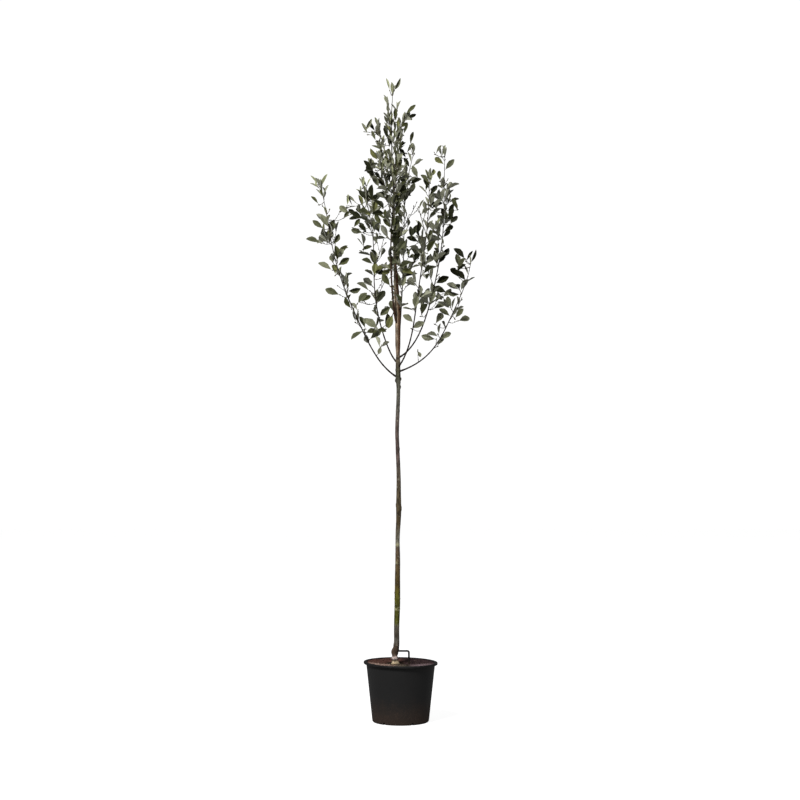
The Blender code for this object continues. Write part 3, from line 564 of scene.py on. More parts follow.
def limb_path(limb):
    """Points from the trunk's middle to the tip, at a fine even step, with their lengths."""
    count = int(limb.length / PATH_STEP)
    step = limb.length / count
    points = [trunk_middle(limb.foot)]
    for k in range(count):
        s = (k + 0.5) * step
        swing = limb.sway * math.sin(2 * math.pi * (SWAY_WAVES * s / limb.length + limb.phase))
        lean = between(limb.lean_tip, limb.lean_foot, math.exp(-s / limb.turn))
        lean = math.radians(lean + swing)
        azimuth = math.radians(limb.azimuth + limb.drift * s / limb.length)
        ahead = Vector((math.sin(lean) * math.cos(azimuth), math.sin(lean) * math.sin(azimuth),
                        math.cos(lean)))
        points.append(points[-1] + ahead * step)
    return points, step


def point_on(path, step, s):
    k = min(int(s / step), len(path) - 2)
    t = s / step - k
    return between(path[k], path[k + 1], t)


def limb_stretch(limb, start, end, spacing=LIMB_STEP):
    """Points and radii of a limb between two lengths along it."""
    path, step = limb_path(limb)
    count = max(round((end - start) / spacing), 1)
    most = FOOT_SHARE * trunk_at(limb.foot)[1]
    points = []
    radii = []
    for k in range(count + 1):
        s = start + (end - start) * k / count
        taper = limb.radius + (limb.tip_radius - limb.radius) * s / limb.length
        swell = 1 + FOOT_SWELL * math.exp(-s / FOOT_SWELL_FADE)
        points.append(point_on(path, step, s))
        radii.append(min(taper * swell, most))
    return points, radii


def leader_limbs():
    """The slender shoots and short spurs that stand round the leader, as named limbs."""
    limbs = {}
    for k in range(LEADER_SHOOTS):
        t = k / (LEADER_SHOOTS - 1)
        limbs[f"leader_shoot_{k + 1:02d}"] = Limb(
            foot=between(SHOOTS_LOW, SHOOTS_HIGH, t),
            azimuth=SHOOT_AZIMUTH + math.degrees(GOLDEN) * k,
            length=between(SHOOT_LONG, SHOOT_SHORT, t ** SHOOT_EASE),
            lean_foot=SHOOT_LEAN * (1 - SHOOT_CLOSING * t), lean_tip=SHOOT_LEAN_TIP,
            turn=SHOOT_TURN, radius=SHOOT_RADIUS, seed=SHOOT_SEED)
    for k in range(LEADER_SPURS):
        t = k / (LEADER_SPURS - 1)
        limbs[f"leader_spur_{k + 1:02d}"] = Limb(
            foot=between(SPURS_LOW, SPURS_HIGH, t),
            azimuth=SPUR_AZIMUTH + math.degrees(GOLDEN) * k,
            length=LEADER_SPUR, lean_foot=LEADER_SPUR_LEAN, lean_tip=LEADER_SPUR_LEAN,
            turn=1.0, radius=SHOOT_RADIUS, tip_radius=SPUR_RADIUS, seed=SPUR_SEED)
    return limbs


@dataclass
class Leaf:
    root: Vector
    along: Vector               # from root to tip
    face: Vector                # upper side
    length: float
    width: float
    young: bool = False
    spray: int = 0              # leaves of one spray share their tint
    fine: bool = False
    aimed: bool = False         # drawn just as it points
    pale: bool = False


@dataclass
class Twig:
    points: list
    radii: list


def leaf_solid(leaf, start=0.0, room=0.0):
    """The plain blade that the rule keeps room for."""
    side = leaf.face.cross(leaf.along).normalized()
    length = leaf.length + room
    width = leaf.width + 2 * room

    def corner(place, half, lift=0.0):
        droop = LEAF_DROOP * place * place * length
        return (leaf.root + leaf.along * (place * length) + side * (half * width)
                + leaf.face * (lift - droop))

    root, tip = corner(start, 0.0), corner(1.0, 0.0)
    crest = corner(LEAF_CREST, 0.0, LEAF_THICK + room)
    if leaf.young:
        vertices = [root, corner(LEAF_CREST, 0.5), corner(LEAF_CREST, -0.5), tip, crest]
        faces = [(0, 1, 2), (1, 3, 2), (4, 1, 0), (4, 3, 1), (4, 2, 3), (4, 0, 2)]
        return vertices, faces
    (low, low_half), (high, high_half) = LEAF_SHOULDER, LEAF_WAIST
    vertices = [root, corner(low, low_half), corner(low, -low_half),
                corner(high, high_half), corner(high, -high_half), tip, crest]
    faces = [(0, 1, 2), (1, 4, 2), (1, 3, 4), (3, 5, 4),
             (6, 1, 0), (6, 3, 1), (6, 5, 3), (6, 4, 5), (6, 2, 4), (6, 0, 2)]
    return vertices, faces


class Placed:
    """What already stands in the crown, for testing new leaves and twigs against."""

    def __init__(self):
        self.items = []
        self.lows = np.zeros((0, 3))
        self.highs = np.zeros((0, 3))

    def add(self, owner, kind, vertices, faces):
        places = as_array(vertices)
        count = len(self.items)
        if count == len(self.lows):
            self.lows = np.vstack([self.lows, np.zeros((count + 64, 3))])
            self.highs = np.vstack([self.highs, np.zeros((count + 64, 3))])
        self.lows[count] = places.min(axis=0)
        self.highs[count] = places.max(axis=0)
        self.items.append((owner, kind, BVHTree.FromPolygons(places.tolist(), faces)))

    def touches(self, vertices, faces, wanted):
        """True where the given shape meets an item that wanted(owner, kind) picks."""
        places = as_array(vertices)
        count = len(self.items)
        near = ((self.lows[:count] <= places.max(axis=0))
                & (self.highs[:count] >= places.min(axis=0))).all(axis=1)
        tree = None
        for k in np.nonzero(near)[0]:
            owner, kind, other = self.items[k]
            if not wanted(owner, kind):
                continue
            tree = tree or BVHTree.FromPolygons(places.tolist(), faces)
            if tree.overlap(other):
                return True
        return False


class Space:
    """Each mass's share of the crown: near its own stem, and nearer to it than to another's."""

    def __init__(self, stems):
        self.owners = []
        points = []
        for name, path in stems.items():
            for point in path:
                points.append(point)
                self.owners.append(name)
        self.tree = KDTree(len(points))
        for k, point in enumerate(points):
            self.tree.insert(point, k)
        self.tree.balance()

    def holds(self, name, point):
        own = self.tree.find(point, filter=lambda k: self.owners[k] == name)[2]
        nearest = self.tree.find(point)[2]
        return own < REACH and own < nearest + SHARE


def seen_from_front(point):
    """Place of a point on the plane y = 0, as the eye sees it."""
    share = -EYE.y / (point.y - EYE.y)
    return EYE.x + (point.x - EYE.x) * share, EYE.z + (point.z - EYE.z) * share


def in_opening(point):
    x, z = seen_from_front(point)
    for middle_x, middle_z, long, wide, slant in OPENINGS:
        turn = math.radians(slant)
        dx, dz = x - middle_x / 1000, z - middle_z / 1000
        along = dx * math.cos(turn) + dz * math.sin(turn)
        aside = dz * math.cos(turn) - dx * math.sin(turn)
        if (along / (long / 1000)) ** 2 + (aside / (wide / 1000)) ** 2 < 1:
            return True
    return False


def leaf_in_opening(leaf):
    return any(in_opening(leaf.root + leaf.along * (leaf.length * share))
               for share in OPEN_AT)


class Mass:
    """One mass of foliage: a stem with the twigs and leaves that grew on it."""

    def __init__(self, name, seed, stem, radii, placed, space):
        self.name = name
        self.stem = stem
        self.radii = radii
        self.placed = placed
        self.space = space
        self.twigs = []
        self.leaves = []
        self.sprays = 0
        self.fine = False
        self.reaching = False
        self.own = (name,)
        self.draw = random.Random(f"{name} {seed}")

    def others(self, owner, kind):
        return owner not in self.own and kind != "blade"

    def own_wood(self, owner, kind):
        return owner in self.own and kind != "leaf"

    def try_leaf(self, leaf):
        tip = leaf.root + leaf.along * leaf.length
        heart = leaf.root + leaf.along * (leaf.length * LEAF_HEART)
        free = self.space.holds(self.name, tip) and self.space.holds(self.name, heart)
        if not (self.reaching or free) or self.fine and leaf_in_opening(leaf):
            return False
        whole = leaf_solid(leaf, 0.0, BLADE_CLEAR)
        if self.placed.touches(*whole, self.others):
            return False
        blade = leaf_solid(leaf, BLADE_START, BLADE_CLEAR)
        if self.placed.touches(*blade, self.own_wood):
            return False
        leaf.spray = self.sprays
        leaf.fine = self.fine
        self.leaves.append(leaf)
        self.placed.add(self.name, "leaf", *whole)
        self.placed.add(self.name, "blade", *leaf_solid(leaf, BLADE_START, 0.0))
        return True

    def try_twig(self, points, radii):
        free = all(self.space.holds(self.name, point) for point in points)
        if not (self.reaching or free):
            return False
        roomy = tube(points, [r + BLADE_CLEAR for r in radii], TWIG_SIDES)
        if self.placed.touches(*roomy, self.others):
            return False
        clear_of_root = tube([points[0].lerp(points[1], 0.5)] + points[1:], radii, TWIG_SIDES)
        if self.placed.touches(*clear_of_root, lambda owner, kind: owner in self.own):
            return False
        self.twigs.append(Twig(points, radii))
        self.placed.add(self.name, "twig", *tube(points, radii, TWIG_SIDES))
        return True

    def leaf(self, root, axis, turn, spread, young=False):
        """One leaf at a turn round an axis, tried in a few directions near that."""
        for _ in range(TRIES):
            angle = math.radians(self.draw.uniform(*spread))
            out = sideways(axis, turn + self.draw.uniform(-LEAF_STRAY, LEAF_STRAY))
            along = (axis * math.cos(angle) + out * math.sin(angle)).normalized()
            face = squared(axis, along)
            face = Matrix.Rotation(self.draw.gauss(0, LEAF_ROLL), 3, along) @ face
            size = self.draw.uniform(*LEAF_SIZES) * (YOUNG_SIZE if young else 1.0)
            slim = self.draw.uniform(*LEAF_SLIMNESS) * (YOUNG_SLIMNESS if young else 1.0)
            if self.fine:
                size *= FINE_SIZE
            leaf = Leaf(root, along, face, LEAF_LENGTH * size, LEAF_WIDTH * size * slim, young)
            if self.try_leaf(leaf):
                return

    def fan(self, low, high, axis, count, spread, young=False):
        """Leaves set round an axis, their roots one after another from low to high."""
        self.sprays += 1
        first = self.draw.uniform(0, 2 * math.pi)
        for k in range(count):
            root = low.lerp(high, k / max(count - 1, 1))
            self.leaf(root, axis, first + 2 * math.pi * k / count, spread, young)

    def spur(self, base, stem_ahead, turn, leaves):
        """A short spur that turns up from its stem, with its fan of leaves."""
        axis = (sideways(stem_ahead, turn) + UP * SPUR_LIFT).normalized()
        end = base + axis * SPUR_LENGTH * self.draw.uniform(*SPUR_LONGER)
        if self.try_twig([base, end], [SPUR_RADIUS, SPUR_RADIUS * SPUR_TAPER]):
            low, high = (base.lerp(end, share) for share in SPUR_ROOTS)
            self.fan(low, high, axis, leaves, LEAF_SPREAD)

    def twig(self, base, stem_ahead, turn, length):
        """A side twig that bends up, with single leaves and an end tuft."""
        out = sideways(stem_ahead, turn)
        lean = math.radians(TWIG_LEAN)
        ahead = (stem_ahead * math.cos(lean) + out * math.sin(lean)).normalized()
        count = max(round(length / LIMB_STEP), 2)
        points = [base]
        for _ in range(count):
            ahead = (ahead + UP * TWIG_LIFT).normalized()
            points.append(points[-1] + ahead * (length / count))
        radii = [TWIG_RADIUS + (TWIG_TIP_RADIUS - TWIG_RADIUS) * k / count
                 for k in range(count + 1)]
        if not self.try_twig(points, radii):
            return False
        self.single_leaves(points, TWIG_BARE, length)
        self.tuft(points)
        return True

    def single_leaves(self, points, first, last):
        """Single leaves by the golden angle along young wood."""
        self.sprays += 1
        for s, turn in golden_steps(self.draw, first, last - LEAF_STOP, LEAF_SPACING):
            point, ahead = along_points(points, s)
            self.leaf(point, ahead, turn, YOUNG_SPREAD, young=True)

    def tuft(self, points):
        """Young leaves at the end of a stem or twig."""
        axis = (points[-1] - points[-2]).normalized()
        low, high = (points[-1] - axis * back for back in TUFT_ROOTS)
        self.fan(low, high, axis, TUFT_LEAVES, TUFT_SPREAD, young=True)

    def rosette(self, leaves):
        """A fan of full leaves at the end of the stem."""
        base, end = self.stem[-2:]
        axis = (end - base).normalized()
        low = end - axis * SPUR_LENGTH / 2
        self.fan(low, end - axis * ROSETTE_END, axis, leaves, LEAF_SPREAD)

    def grow(self, twigs):
        """Spurs by the golden angle, side twigs for some, then young wood to the tip."""
        length = length_of(self.stem)
        young = length * YOUNG_FROM
        self.tuft(self.stem)
        stations = list(golden_steps(self.draw, FIRST_SPUR, young, SPUR_SPACING))
        pitch = len(stations) / (twigs + TWIG_SPREAD)
        twig_places = {round(pitch * (k + 0.5)) for k in range(twigs)}
        for k, (s, turn) in enumerate(stations):
            point, ahead = along_points(self.stem, s)
            if k in twig_places:
                long = TWIG_LENGTH * (1 - TWIG_SHORTENS * s / length)
                if self.twig(point, ahead, turn, long * self.draw.uniform(*VARIES)):
                    continue
            self.spur(point, ahead, turn, SPUR_LEAVES)
        self.single_leaves(self.stem, young, length)

    # ---- finer growth

    def reach(self, base, middle, ahead, leaves, kind):
        """A thin twig from the limb towards a gap, with leaves that point one way across it."""
        carrier = self.name.replace("foliage_", "bough_")
        self.own = (self.name, carrier if carrier != self.name else "trunk")
        self.reaching = True
        self.sprays += 1
        end = self.reach_twig(base, middle, ahead, STRAY_SIZE if kind == "stray" else 1.0)
        if end is not None:
            slender = kind == "wisp" or middle.z > SLENDER_ABOVE
            aside = REACH_ASIDE[leaves > 1]
            for k in range(leaves):
                root = end - ahead * (REACH_LEAF_STEP * k)
                self.reach_leaf(root, ahead, aside, slender, kind)
        self.reaching = False
        self.own = (self.name,)

    def reach_twig(self, base, middle, ahead, size):
        """A bowed twig that ends half a leaf before the middle, or None if it has no room."""
        half = LEAF_LENGTH * REACH_HALF * size
        for attempt in range(2 * TRIES):
            stray = REACH_DEPTH * (0.5 + attempt / 2)
            depth = Vector((0, self.draw.uniform(-1, 1) * stray, 0))
            end = middle + depth * 0.5 - ahead * half
            length = (end - base).length
            if length < REACH_SHORT:
                return base
            bow = length * REACH_BOW
            elbow = base.lerp(end, 0.5) - UP * bow
            knee = base.lerp(elbow, 0.5) - UP * bow * 0.3
            points = [base, knee, elbow, elbow.lerp(end, 0.6), end]
            if self.try_twig(points, [REACH_RADIUS * (1.2 - 0.1 * k) for k in range(5)]):
                return end
        return None

    def reach_leaf(self, root, ahead, aside, slender, kind):
        """One leaf that points ahead and faces the front, tried in directions near that."""
        for attempt in range(3 * TRIES):
            turn = math.radians(self.draw.gauss(0, aside))
            front = Vector((self.draw.gauss(0, FACE_SPREAD), -1, self.draw.gauss(*FACE_RISE)))
            lean = self.draw.gauss(0, LEAN_SPREAD + LEAN_WIDENS * attempt)
            along = Matrix.Rotation(turn, 3, "Y") @ ahead
            along = (along + Vector((0, lean, 0))).normalized()
            size = self.draw.uniform(*LEAF_SIZES)
            slim = self.draw.uniform(*LEAF_SLIMNESS) * (WISP_SLIMNESS if slender else 1.0)
            size *= STRAY_SIZE if kind == "stray" else 1.0
            leaf = Leaf(root, along, squared(front, along), LEAF_LENGTH * size,
                        LEAF_WIDTH * size * slim, kind == "wisp", aimed=True,
                        pale=kind == "stray")
            if self.try_leaf(leaf):
                return

    def side_twig(self, base, stem_ahead, turn, young):
        """A small side twig with a few leaves at its end."""
        length = self.draw.uniform(*FINE_LONG)
        ahead = stem_ahead * self.draw.uniform(*FINE_FORWARD) + sideways(stem_ahead, turn)
        ahead = (ahead + UP * FINE_LIFT).normalized()
        bend = (ahead + UP * self.draw.uniform(*FINE_BEND)).normalized()
        points = [base, base + ahead * length / 2]
        points.append(points[1] + bend * length / 2)
        middle = (FINE_RADIUS + FINE_TIP_RADIUS) / 2
        if self.try_twig(points, [FINE_RADIUS, middle, FINE_TIP_RADIUS]):
            low, high = (points[-1] - bend * back for back in FINE_ROOTS)
            spread = YOUNG_SPREAD if young else LEAF_SPREAD
            self.fan(low, high, bend, self.draw.randint(*FINE_LEAVES), spread, young)

    def fill(self, points, start, young_from):
        """Small side twigs along a stem or twig, with young leaves from a share of it on."""
        end = length_of(points) - LEAF_STOP
        for s, turn in golden_steps(self.draw, start, end, FINE_SPACING):
            point, ahead = along_points(points, s)
            self.side_twig(point, ahead, turn, s > young_from * end)

    def refine(self, seed):
        """The second growth: small side twigs on the stem, and on each longer twig."""
        self.fine = True
        self.draw = random.Random(f"{self.name} fine {seed}")
        self.fill(self.stem, FIRST_SPUR / 2, YOUNG_FROM)
        for twig in [twig for twig in self.twigs if len(twig.points) > 3]:
            self.fill(twig.points, TWIG_BARE, 1.0)


def along_points(points, s):
    """The point at length s along a polyline, and the direction there."""
    for a, b in zip(points, points[1:]):
        stretch = (b - a).length
        if s <= stretch or b is points[-1]:
            return a.lerp(b, s / stretch), (b - a).normalized()
        s -= stretch


def plan_masses(placed):
    """Stem of each mass, by name: its limb, points and radii.  All limbs are set in placed, and
    one on the leader turns on round it until it clears those before it."""
    placed.add("trunk", "limb", *trunk_tube(2 * GAP))
    plan = {}
    for name, limb in BOUGHS.items():
        bare = limb_stretch(limb, 0, limb.bare)
        placed.add(f"bough_{name}", "limb", *tube(*bare, BOUGH_SIDES))
        points, radii = limb_stretch(limb, limb.bare + GAP, limb.length)
        plan[f"foliage_{name}"] = (limb, points, radii)
        placed.add(f"foliage_{name}", "stem", *tube(points, radii, STEM_SIDES))
    for name, limb in leader_limbs().items():
        outside = trunk_at(limb.foot)[1] / math.sin(math.radians(limb.lean_foot))
        for _ in range(TRIES):
            points, radii = limb_stretch(limb, outside, limb.length)
            roomy = tube(points, [r + BLADE_CLEAR for r in radii], STEM_SIDES)
            if not placed.touches(*roomy, lambda owner, kind: owner != "trunk"):
                break
            limb.azimuth += TURN_ON
        placed.add(name, "stem", *tube(points, radii, STEM_SIDES))
        plan[name] = (limb, *limb_stretch(limb, 0, limb.length))
    top = trunk_middle(TRUNK_TOP)
    tip = [top + UP * GAP, top + UP * (GAP + TIP_STEM)]
    plan["leader_tip"] = (None, tip, [TRUNK_STATIONS[-1][2], TWIG_TIP_RADIUS])
    return plan


def grow_mass(name, limb, points, radii, placed, space):
    """Grow one mass by the rule for its kind."""
    mass = Mass(name, limb.seed if limb else 1, points, radii, placed, space)
    if limb is None:
        mass.tuft(points)
    elif name.startswith("leader_spur"):
        mass.rosette(SPUR_ROSETTE)
    elif name.startswith("leader_shoot"):
        mass.tuft(points)
        mass.single_leaves(points, LEADER_BARE, limb.length)
    else:
        mass.grow(limb.twigs)
    return mass


def whole_limb(name):
    """Points along the whole limb that carries a mass, from near its foot to its tip."""
    if name == "leader_tip":
        return [trunk_middle(LEADER_FROM + (TRUNK_TOP - LEADER_FROM) * k / LEADER_POINTS)
                for k in range(LEADER_POINTS + 1)]
    bough = BOUGHS.get(name.removeprefix("foliage_"))
    limb = bough or leader_limbs()[name]
    foot = BOUGH_REACH_FOOT if bough else SHOOT_REACH_FOOT
    return limb_stretch(limb, foot, limb.length, REACH_STEP)[0]


def reach_gaps(masses):
    """Each reach grows from the limb that passes nearest below it, as seen from the front."""
    stems = [(mass, point) for mass in masses for point in whole_limb(mass.name)]
    wanted = [(*aim, 1, "wisp") for aim in WISPS] + [(*aim, 1, "stray") for aim in STRAYS]
    wanted += [(*aim, "") for aim in REACHES] + [(*aim, "front") for aim in FRONT_REACHES]
    for x, z, slant, leaves, kind in wanted:
        best = None
        for mass, point in stems:
            if kind == "front" and mass.name != "foliage_front":
                continue
            seen_x, seen_z = seen_from_front(point)
            rise = z - seen_z
            away = math.hypot(x - seen_x, (rise - REACH_RISE) * (1.0 if rise > 0 else 1.6))
            if best is None or away < best[0]:
                best = (away, mass, point)
        _, mass, base = best
        share = (base.y - EYE.y) / -EYE.y
        middle = Vector((EYE.x + (x - EYE.x) * share, base.y, EYE.z + (z - EYE.z) * share))
        turn = math.radians(slant)
        mass.draw = random.Random(f"{mass.name} reach {x} {z}")
        mass.reach(base, middle, Vector((math.cos(turn), 0, math.sin(turn))), leaves, kind)


def grow_crown():
    """All masses by the solids' rule, then the reaches, and the finer growth of each mass whose
    stem has more than two points, but for foliage_right_low.
    """
    placed = Placed()
    plan = plan_masses(placed)
    space = Space({name: points for name, (_, points, _) in plan.items()})
    masses = [grow_mass(name, *entry, placed, space) for name, entry in plan.items()]
    for mass in masses:
        mass.leaves = [leaf for leaf in mass.leaves if not leaf_in_opening(leaf)]
    reach_gaps(masses)
    for mass in masses:
        if len(mass.stem) > 2 and mass.name != "foliage_right_low":
            mass.refine(FINE_SEED)
    return masses


# ==== Node graphs ====

class Graph:
    """Adds nodes to a tree, setting or linking their inputs in the same call."""

    def __init__(self, tree):
        self.tree = tree

    def add(self, kind, inputs=None, **settings):
        node = self.tree.nodes.new(kind)
        for key, value in settings.items():
            setattr(node, key, value)
        for key, value in (inputs or {}).items():
            self.feed(node.inputs[key], value)
        return node

    def feed(self, socket, value):
        if isinstance(value, bpy.types.NodeSocket):
            self.tree.links.new(value, socket)
        elif isinstance(value, tuple) and socket.type == "RGBA":
            socket.default_value = (*value, 1.0)
        else:
            socket.default_value = value

    def math(self, operation, a, b=0.0, clamp=False):
        return self.add("ShaderNodeMath", {0: a, 1: b}, operation=operation,
                        use_clamp=clamp).outputs[0]

    def times(self, a, b):
        return self.math("MULTIPLY", a, b)

    def plus(self, a, b):
        return self.math("ADD", a, b)

    def minus(self, a, b):
        return self.math("SUBTRACT", a, b)

    def apart(self, a, b):
        return self.math("ABSOLUTE", self.minus(a, b))

    def parts(self, place):
        return self.add("ShaderNodeSeparateXYZ", {0: place}).outputs

    def cover(self, base, mask, share, colour):
        """A colour laid over the base where the mask is, at most by a share."""
        return self.mix(self.times(mask, share), base, colour)

    def mix(self, factor, a, b):
        node = self.add("ShaderNodeMix", data_type="RGBA", blend_type="MIX")
        for socket, value in zip((node.inputs[0], node.inputs[6], node.inputs[7]),
                                 (factor, a, b)):
            self.feed(socket, value)
        return node.outputs[2]

    def scaled(self, colour, factor):
        node = self.add("ShaderNodeVectorMath", {0: colour}, operation="SCALE")
        self.feed(node.inputs["Scale"], factor)
        return node.outputs[0]

    def fit(self, value, low, high, to_low=0.0, to_high=1.0):
        """A value taken from one range to another, with eased ends."""
        node = self.add("ShaderNodeMapRange", {"Value": value, "From Min": low,
                        "From Max": high, "To Min": to_low, "To Max": to_high},
                        interpolation_type="SMOOTHSTEP")
        return node.outputs["Result"]

    def noise(self, place, scale, detail=3.0, roughness=0.55):
        node = self.add("ShaderNodeTexNoise", {"Vector": place, "Scale": scale,
                        "Detail": detail, "Roughness": roughness})
        return node.outputs["Fac"]

    def stretched(self, place, x, y, z):
        return self.add("ShaderNodeMapping", {"Vector": place, "Scale": (x, y, z)}).outputs[0]

    def ramp(self, value, stops):
        node = self.add("ShaderNodeValToRGB", {"Fac": value})
        band = node.color_ramp
        while len(band.elements) < len(stops):
            band.elements.new(0.5)
        for element, (place, colour) in zip(band.elements, stops):
            element.position = place
            element.color = (*colour, 1.0)
        return node.outputs["Color"]

    def place(self):
        return self.add("ShaderNodeTexCoord").outputs["Object"]

    def group(self, name, inputs):
        node = self.add("ShaderNodeGroup", node_tree=bpy.data.node_groups[name])
        for key, value in inputs.items():
            self.feed(node.inputs[key], value)
        return node.outputs


def new_group(name, inputs, outputs):
    """An empty node group with float, vector or colour sockets, and its graph and ends."""
    tree = bpy.data.node_groups.new(name, "ShaderNodeTree")
    kinds = {"f": "NodeSocketFloat", "v": "NodeSocketVector", "c": "NodeSocketColor"}
    for label, kind in inputs:
        tree.interface.new_socket(label, in_out="INPUT", socket_type=kinds[kind])
    for label, kind in outputs:
        tree.interface.new_socket(label, in_out="OUTPUT", socket_type=kinds[kind])
    graph = Graph(tree)
    return graph, graph.add("NodeGroupInput").outputs, graph.add("NodeGroupOutput").inputs


def make_dust_and_shade_group():
    """Soil dust, and the spread of the pot lip's painted shade: a ragged mask that fades out
    between two heights, and stands in specks.
    """
    g, given, out = new_group("soil_dust", [("Place", "v"), ("Full", "f"), ("Gone", "f")],
                              [("Mask", "f"), ("Specks", "f")])
    height = g.parts(given["Place"])["Z"]
    cloud = g.noise(given["Place"], 26.0, 5.0, 0.6)
    ragged = g.plus(height, g.times(g.minus(cloud, 0.5), 0.09))
    span = g.minus(given["Gone"], given["Full"])
    share = g.math("DIVIDE", g.minus(ragged, given["Full"]), span)
    fade = g.fit(share, 1.0, 0.0)
    grain = g.noise(given["Place"], 420.0, 2.0, 0.7)
    g.feed(out["Mask"], g.times(fade, g.fit(grain, 0.30, 0.62, 0.45, 1.0)))
    g.feed(out["Specks"], g.times(g.fit(grain, 0.60, 0.70), g.fit(share, 1.4, 0.1)))


def make_zone_and_shade_group():
    """Compost tones by place: pale in front, palest to the left, and dark behind, with a
    painted shadow of the rod in front and painted shade round the stem's foot.
    """
    g, given, out = new_group("compost_zones", [("Place", "v")], [("Tone", "c")])
    drift = g.times(g.minus(g.noise(given["Place"], 45.0, 3.0), 0.5), 0.05)
    parts = g.parts(given["Place"])
    x, y = g.plus(parts["X"], drift), g.plus(parts["Y"], drift)
    left, right = g.fit(x, -0.005, -0.050), g.fit(x, 0.020, 0.050)
    front = g.mix(left, (0.112, 0.094, 0.070), (0.360, 0.250, 0.205))
    front = g.mix(right, front, (0.225, 0.160, 0.172))
    back = g.mix(g.fit(x, -0.02, 0.03), (0.094, 0.042, 0.032), (0.040, 0.022, 0.024))
    tone = g.mix(g.fit(y, 0.0, -0.07), back, front)
    # Painted shadow of the rod: a dark strip at x = 0.026 that reaches towards the front.
    band = g.fit(g.apart(x, 0.026), 0.013, 0.003)
    dark = g.times(band, g.fit(y, -0.01, -0.05))
    tone = g.mix(g.times(dark, 0.75), tone, (0.012, 0.010, 0.008))
    # Painted shade round the stem's foot: the compost darkens within 30 to 46 mm of it.
    aside = g.add("ShaderNodeVectorMath", {0: given["Place"], 1: (-STEM_X, -STEM_Y, -0.235)},
                  operation="ADD").outputs[0]
    reach = g.add("ShaderNodeVectorMath", {0: aside}, operation="LENGTH").outputs["Value"]
    g.feed(out["Tone"], g.mix(g.fit(reach, 0.046, 0.030), tone, (0.012, 0.008, 0.004)))


def make_bark_group():
    """Young bark: mottling, fine upright grain and cross-wise lenticels."""
    g, given, out = new_group("young_bark", [("Place", "v"), ("Scale", "f")],
                              [("Mottle", "f"), ("Grain", "f"), ("Lenticels", "f"),
                               ("Height", "f")])
    place = g.scaled(given["Place"], given["Scale"])
    mottle = g.noise(g.stretched(place, 1.0, 1.0, 0.35), 85.0, 4.0, 0.6)
    grain = g.noise(g.stretched(place, 1.0, 1.0, 0.12), 620.0, 3.0, 0.65)
    spots = g.add("ShaderNodeTexVoronoi", {"Vector": g.stretched(place, 0.8, 0.8, 1.9),
                  "Scale": 150.0, "Randomness": 1.0}, feature="F1").outputs["Distance"]
    lenticels = g.fit(spots, 0.20, 0.08)
    g.feed(out["Mottle"], mottle)
    g.feed(out["Grain"], grain)
    g.feed(out["Lenticels"], lenticels)
    height = g.plus(g.times(grain, 0.7), g.times(lenticels, 0.8))
    g.feed(out["Height"], g.plus(height, mottle))


def make_vein_group():
    """Leaf veins from the blade's own map: midrib, paired side veins, felted margin and net."""
    g, given, out = new_group("leaf_veins", [("Map", "v"), ("Pairs", "f")],
                              [("Veins", "f"), ("Margin", "f"), ("Height", "f")])
    parts = g.parts(given["Map"])
    aside = g.apart(parts["X"], 0.5)
    slant = g.minus(parts["Y"], g.times(aside, 0.42))
    phase = g.math("FRACT", g.times(slant, given["Pairs"]))
    ridge = g.fit(g.apart(phase, 0.5), 0.16, 0.02)
    midrib = g.fit(aside, 0.055, 0.015)
    veins = g.math("MAXIMUM", g.times(ridge, 0.75), midrib)
    net = g.noise(g.stretched(given["Map"], 1.0, 1.6, 1.0), 26.0, 2.0)
    g.feed(out["Veins"], veins)
    g.feed(out["Margin"], g.fit(aside, 0.40, 0.49))
    g.feed(out["Height"], g.plus(veins, g.times(net, 0.35)))


def new_material(name, gloss=0.3, **values):
    """A material, its graph and its Principled shader, with constants set on the sockets."""
    material = bpy.data.materials.new(name)
    material.use_nodes = True
    shader = material.node_tree.nodes["Principled BSDF"]
    graph = Graph(material.node_tree)
    graph.feed(shader.inputs["Specular IOR Level"], gloss)
    for label, value in values.items():
        graph.feed(shader.inputs[label.replace("_", " ").title()], value)
    return material, graph, shader.inputs


def dress(g, skin, base, rough, height, strength, distance):
    """Feed a skin its colour and roughness, and a bump whose distance is in metres."""
    g.feed(skin["Base Color"], base)
    g.feed(skin["Roughness"], rough)
    bump = g.add("ShaderNodeBump", {"Height": height, "Strength": strength,
                                    "Distance": distance})
    g.feed(skin["Normal"], bump.outputs["Normal"])


# ==== Materials ====

PLASTIC = (0.0135, 0.0135, 0.0140)
SOIL_DUST = (0.060, 0.036, 0.024)
# LIP_SHADE is painted shade that darkens the pot's lip; LIP_SHARE is the most of it that is
# laid on.
LIP_SHADE = (0.004, 0.004, 0.004)
LIP_SHARE = 0.60
# Places in front where the lip's painted shade is left off.
LIP_SHADE_GAPS = ((-0.043, 0.006), (0.026, 0.009))   # x and half width of the lip's unshaded places


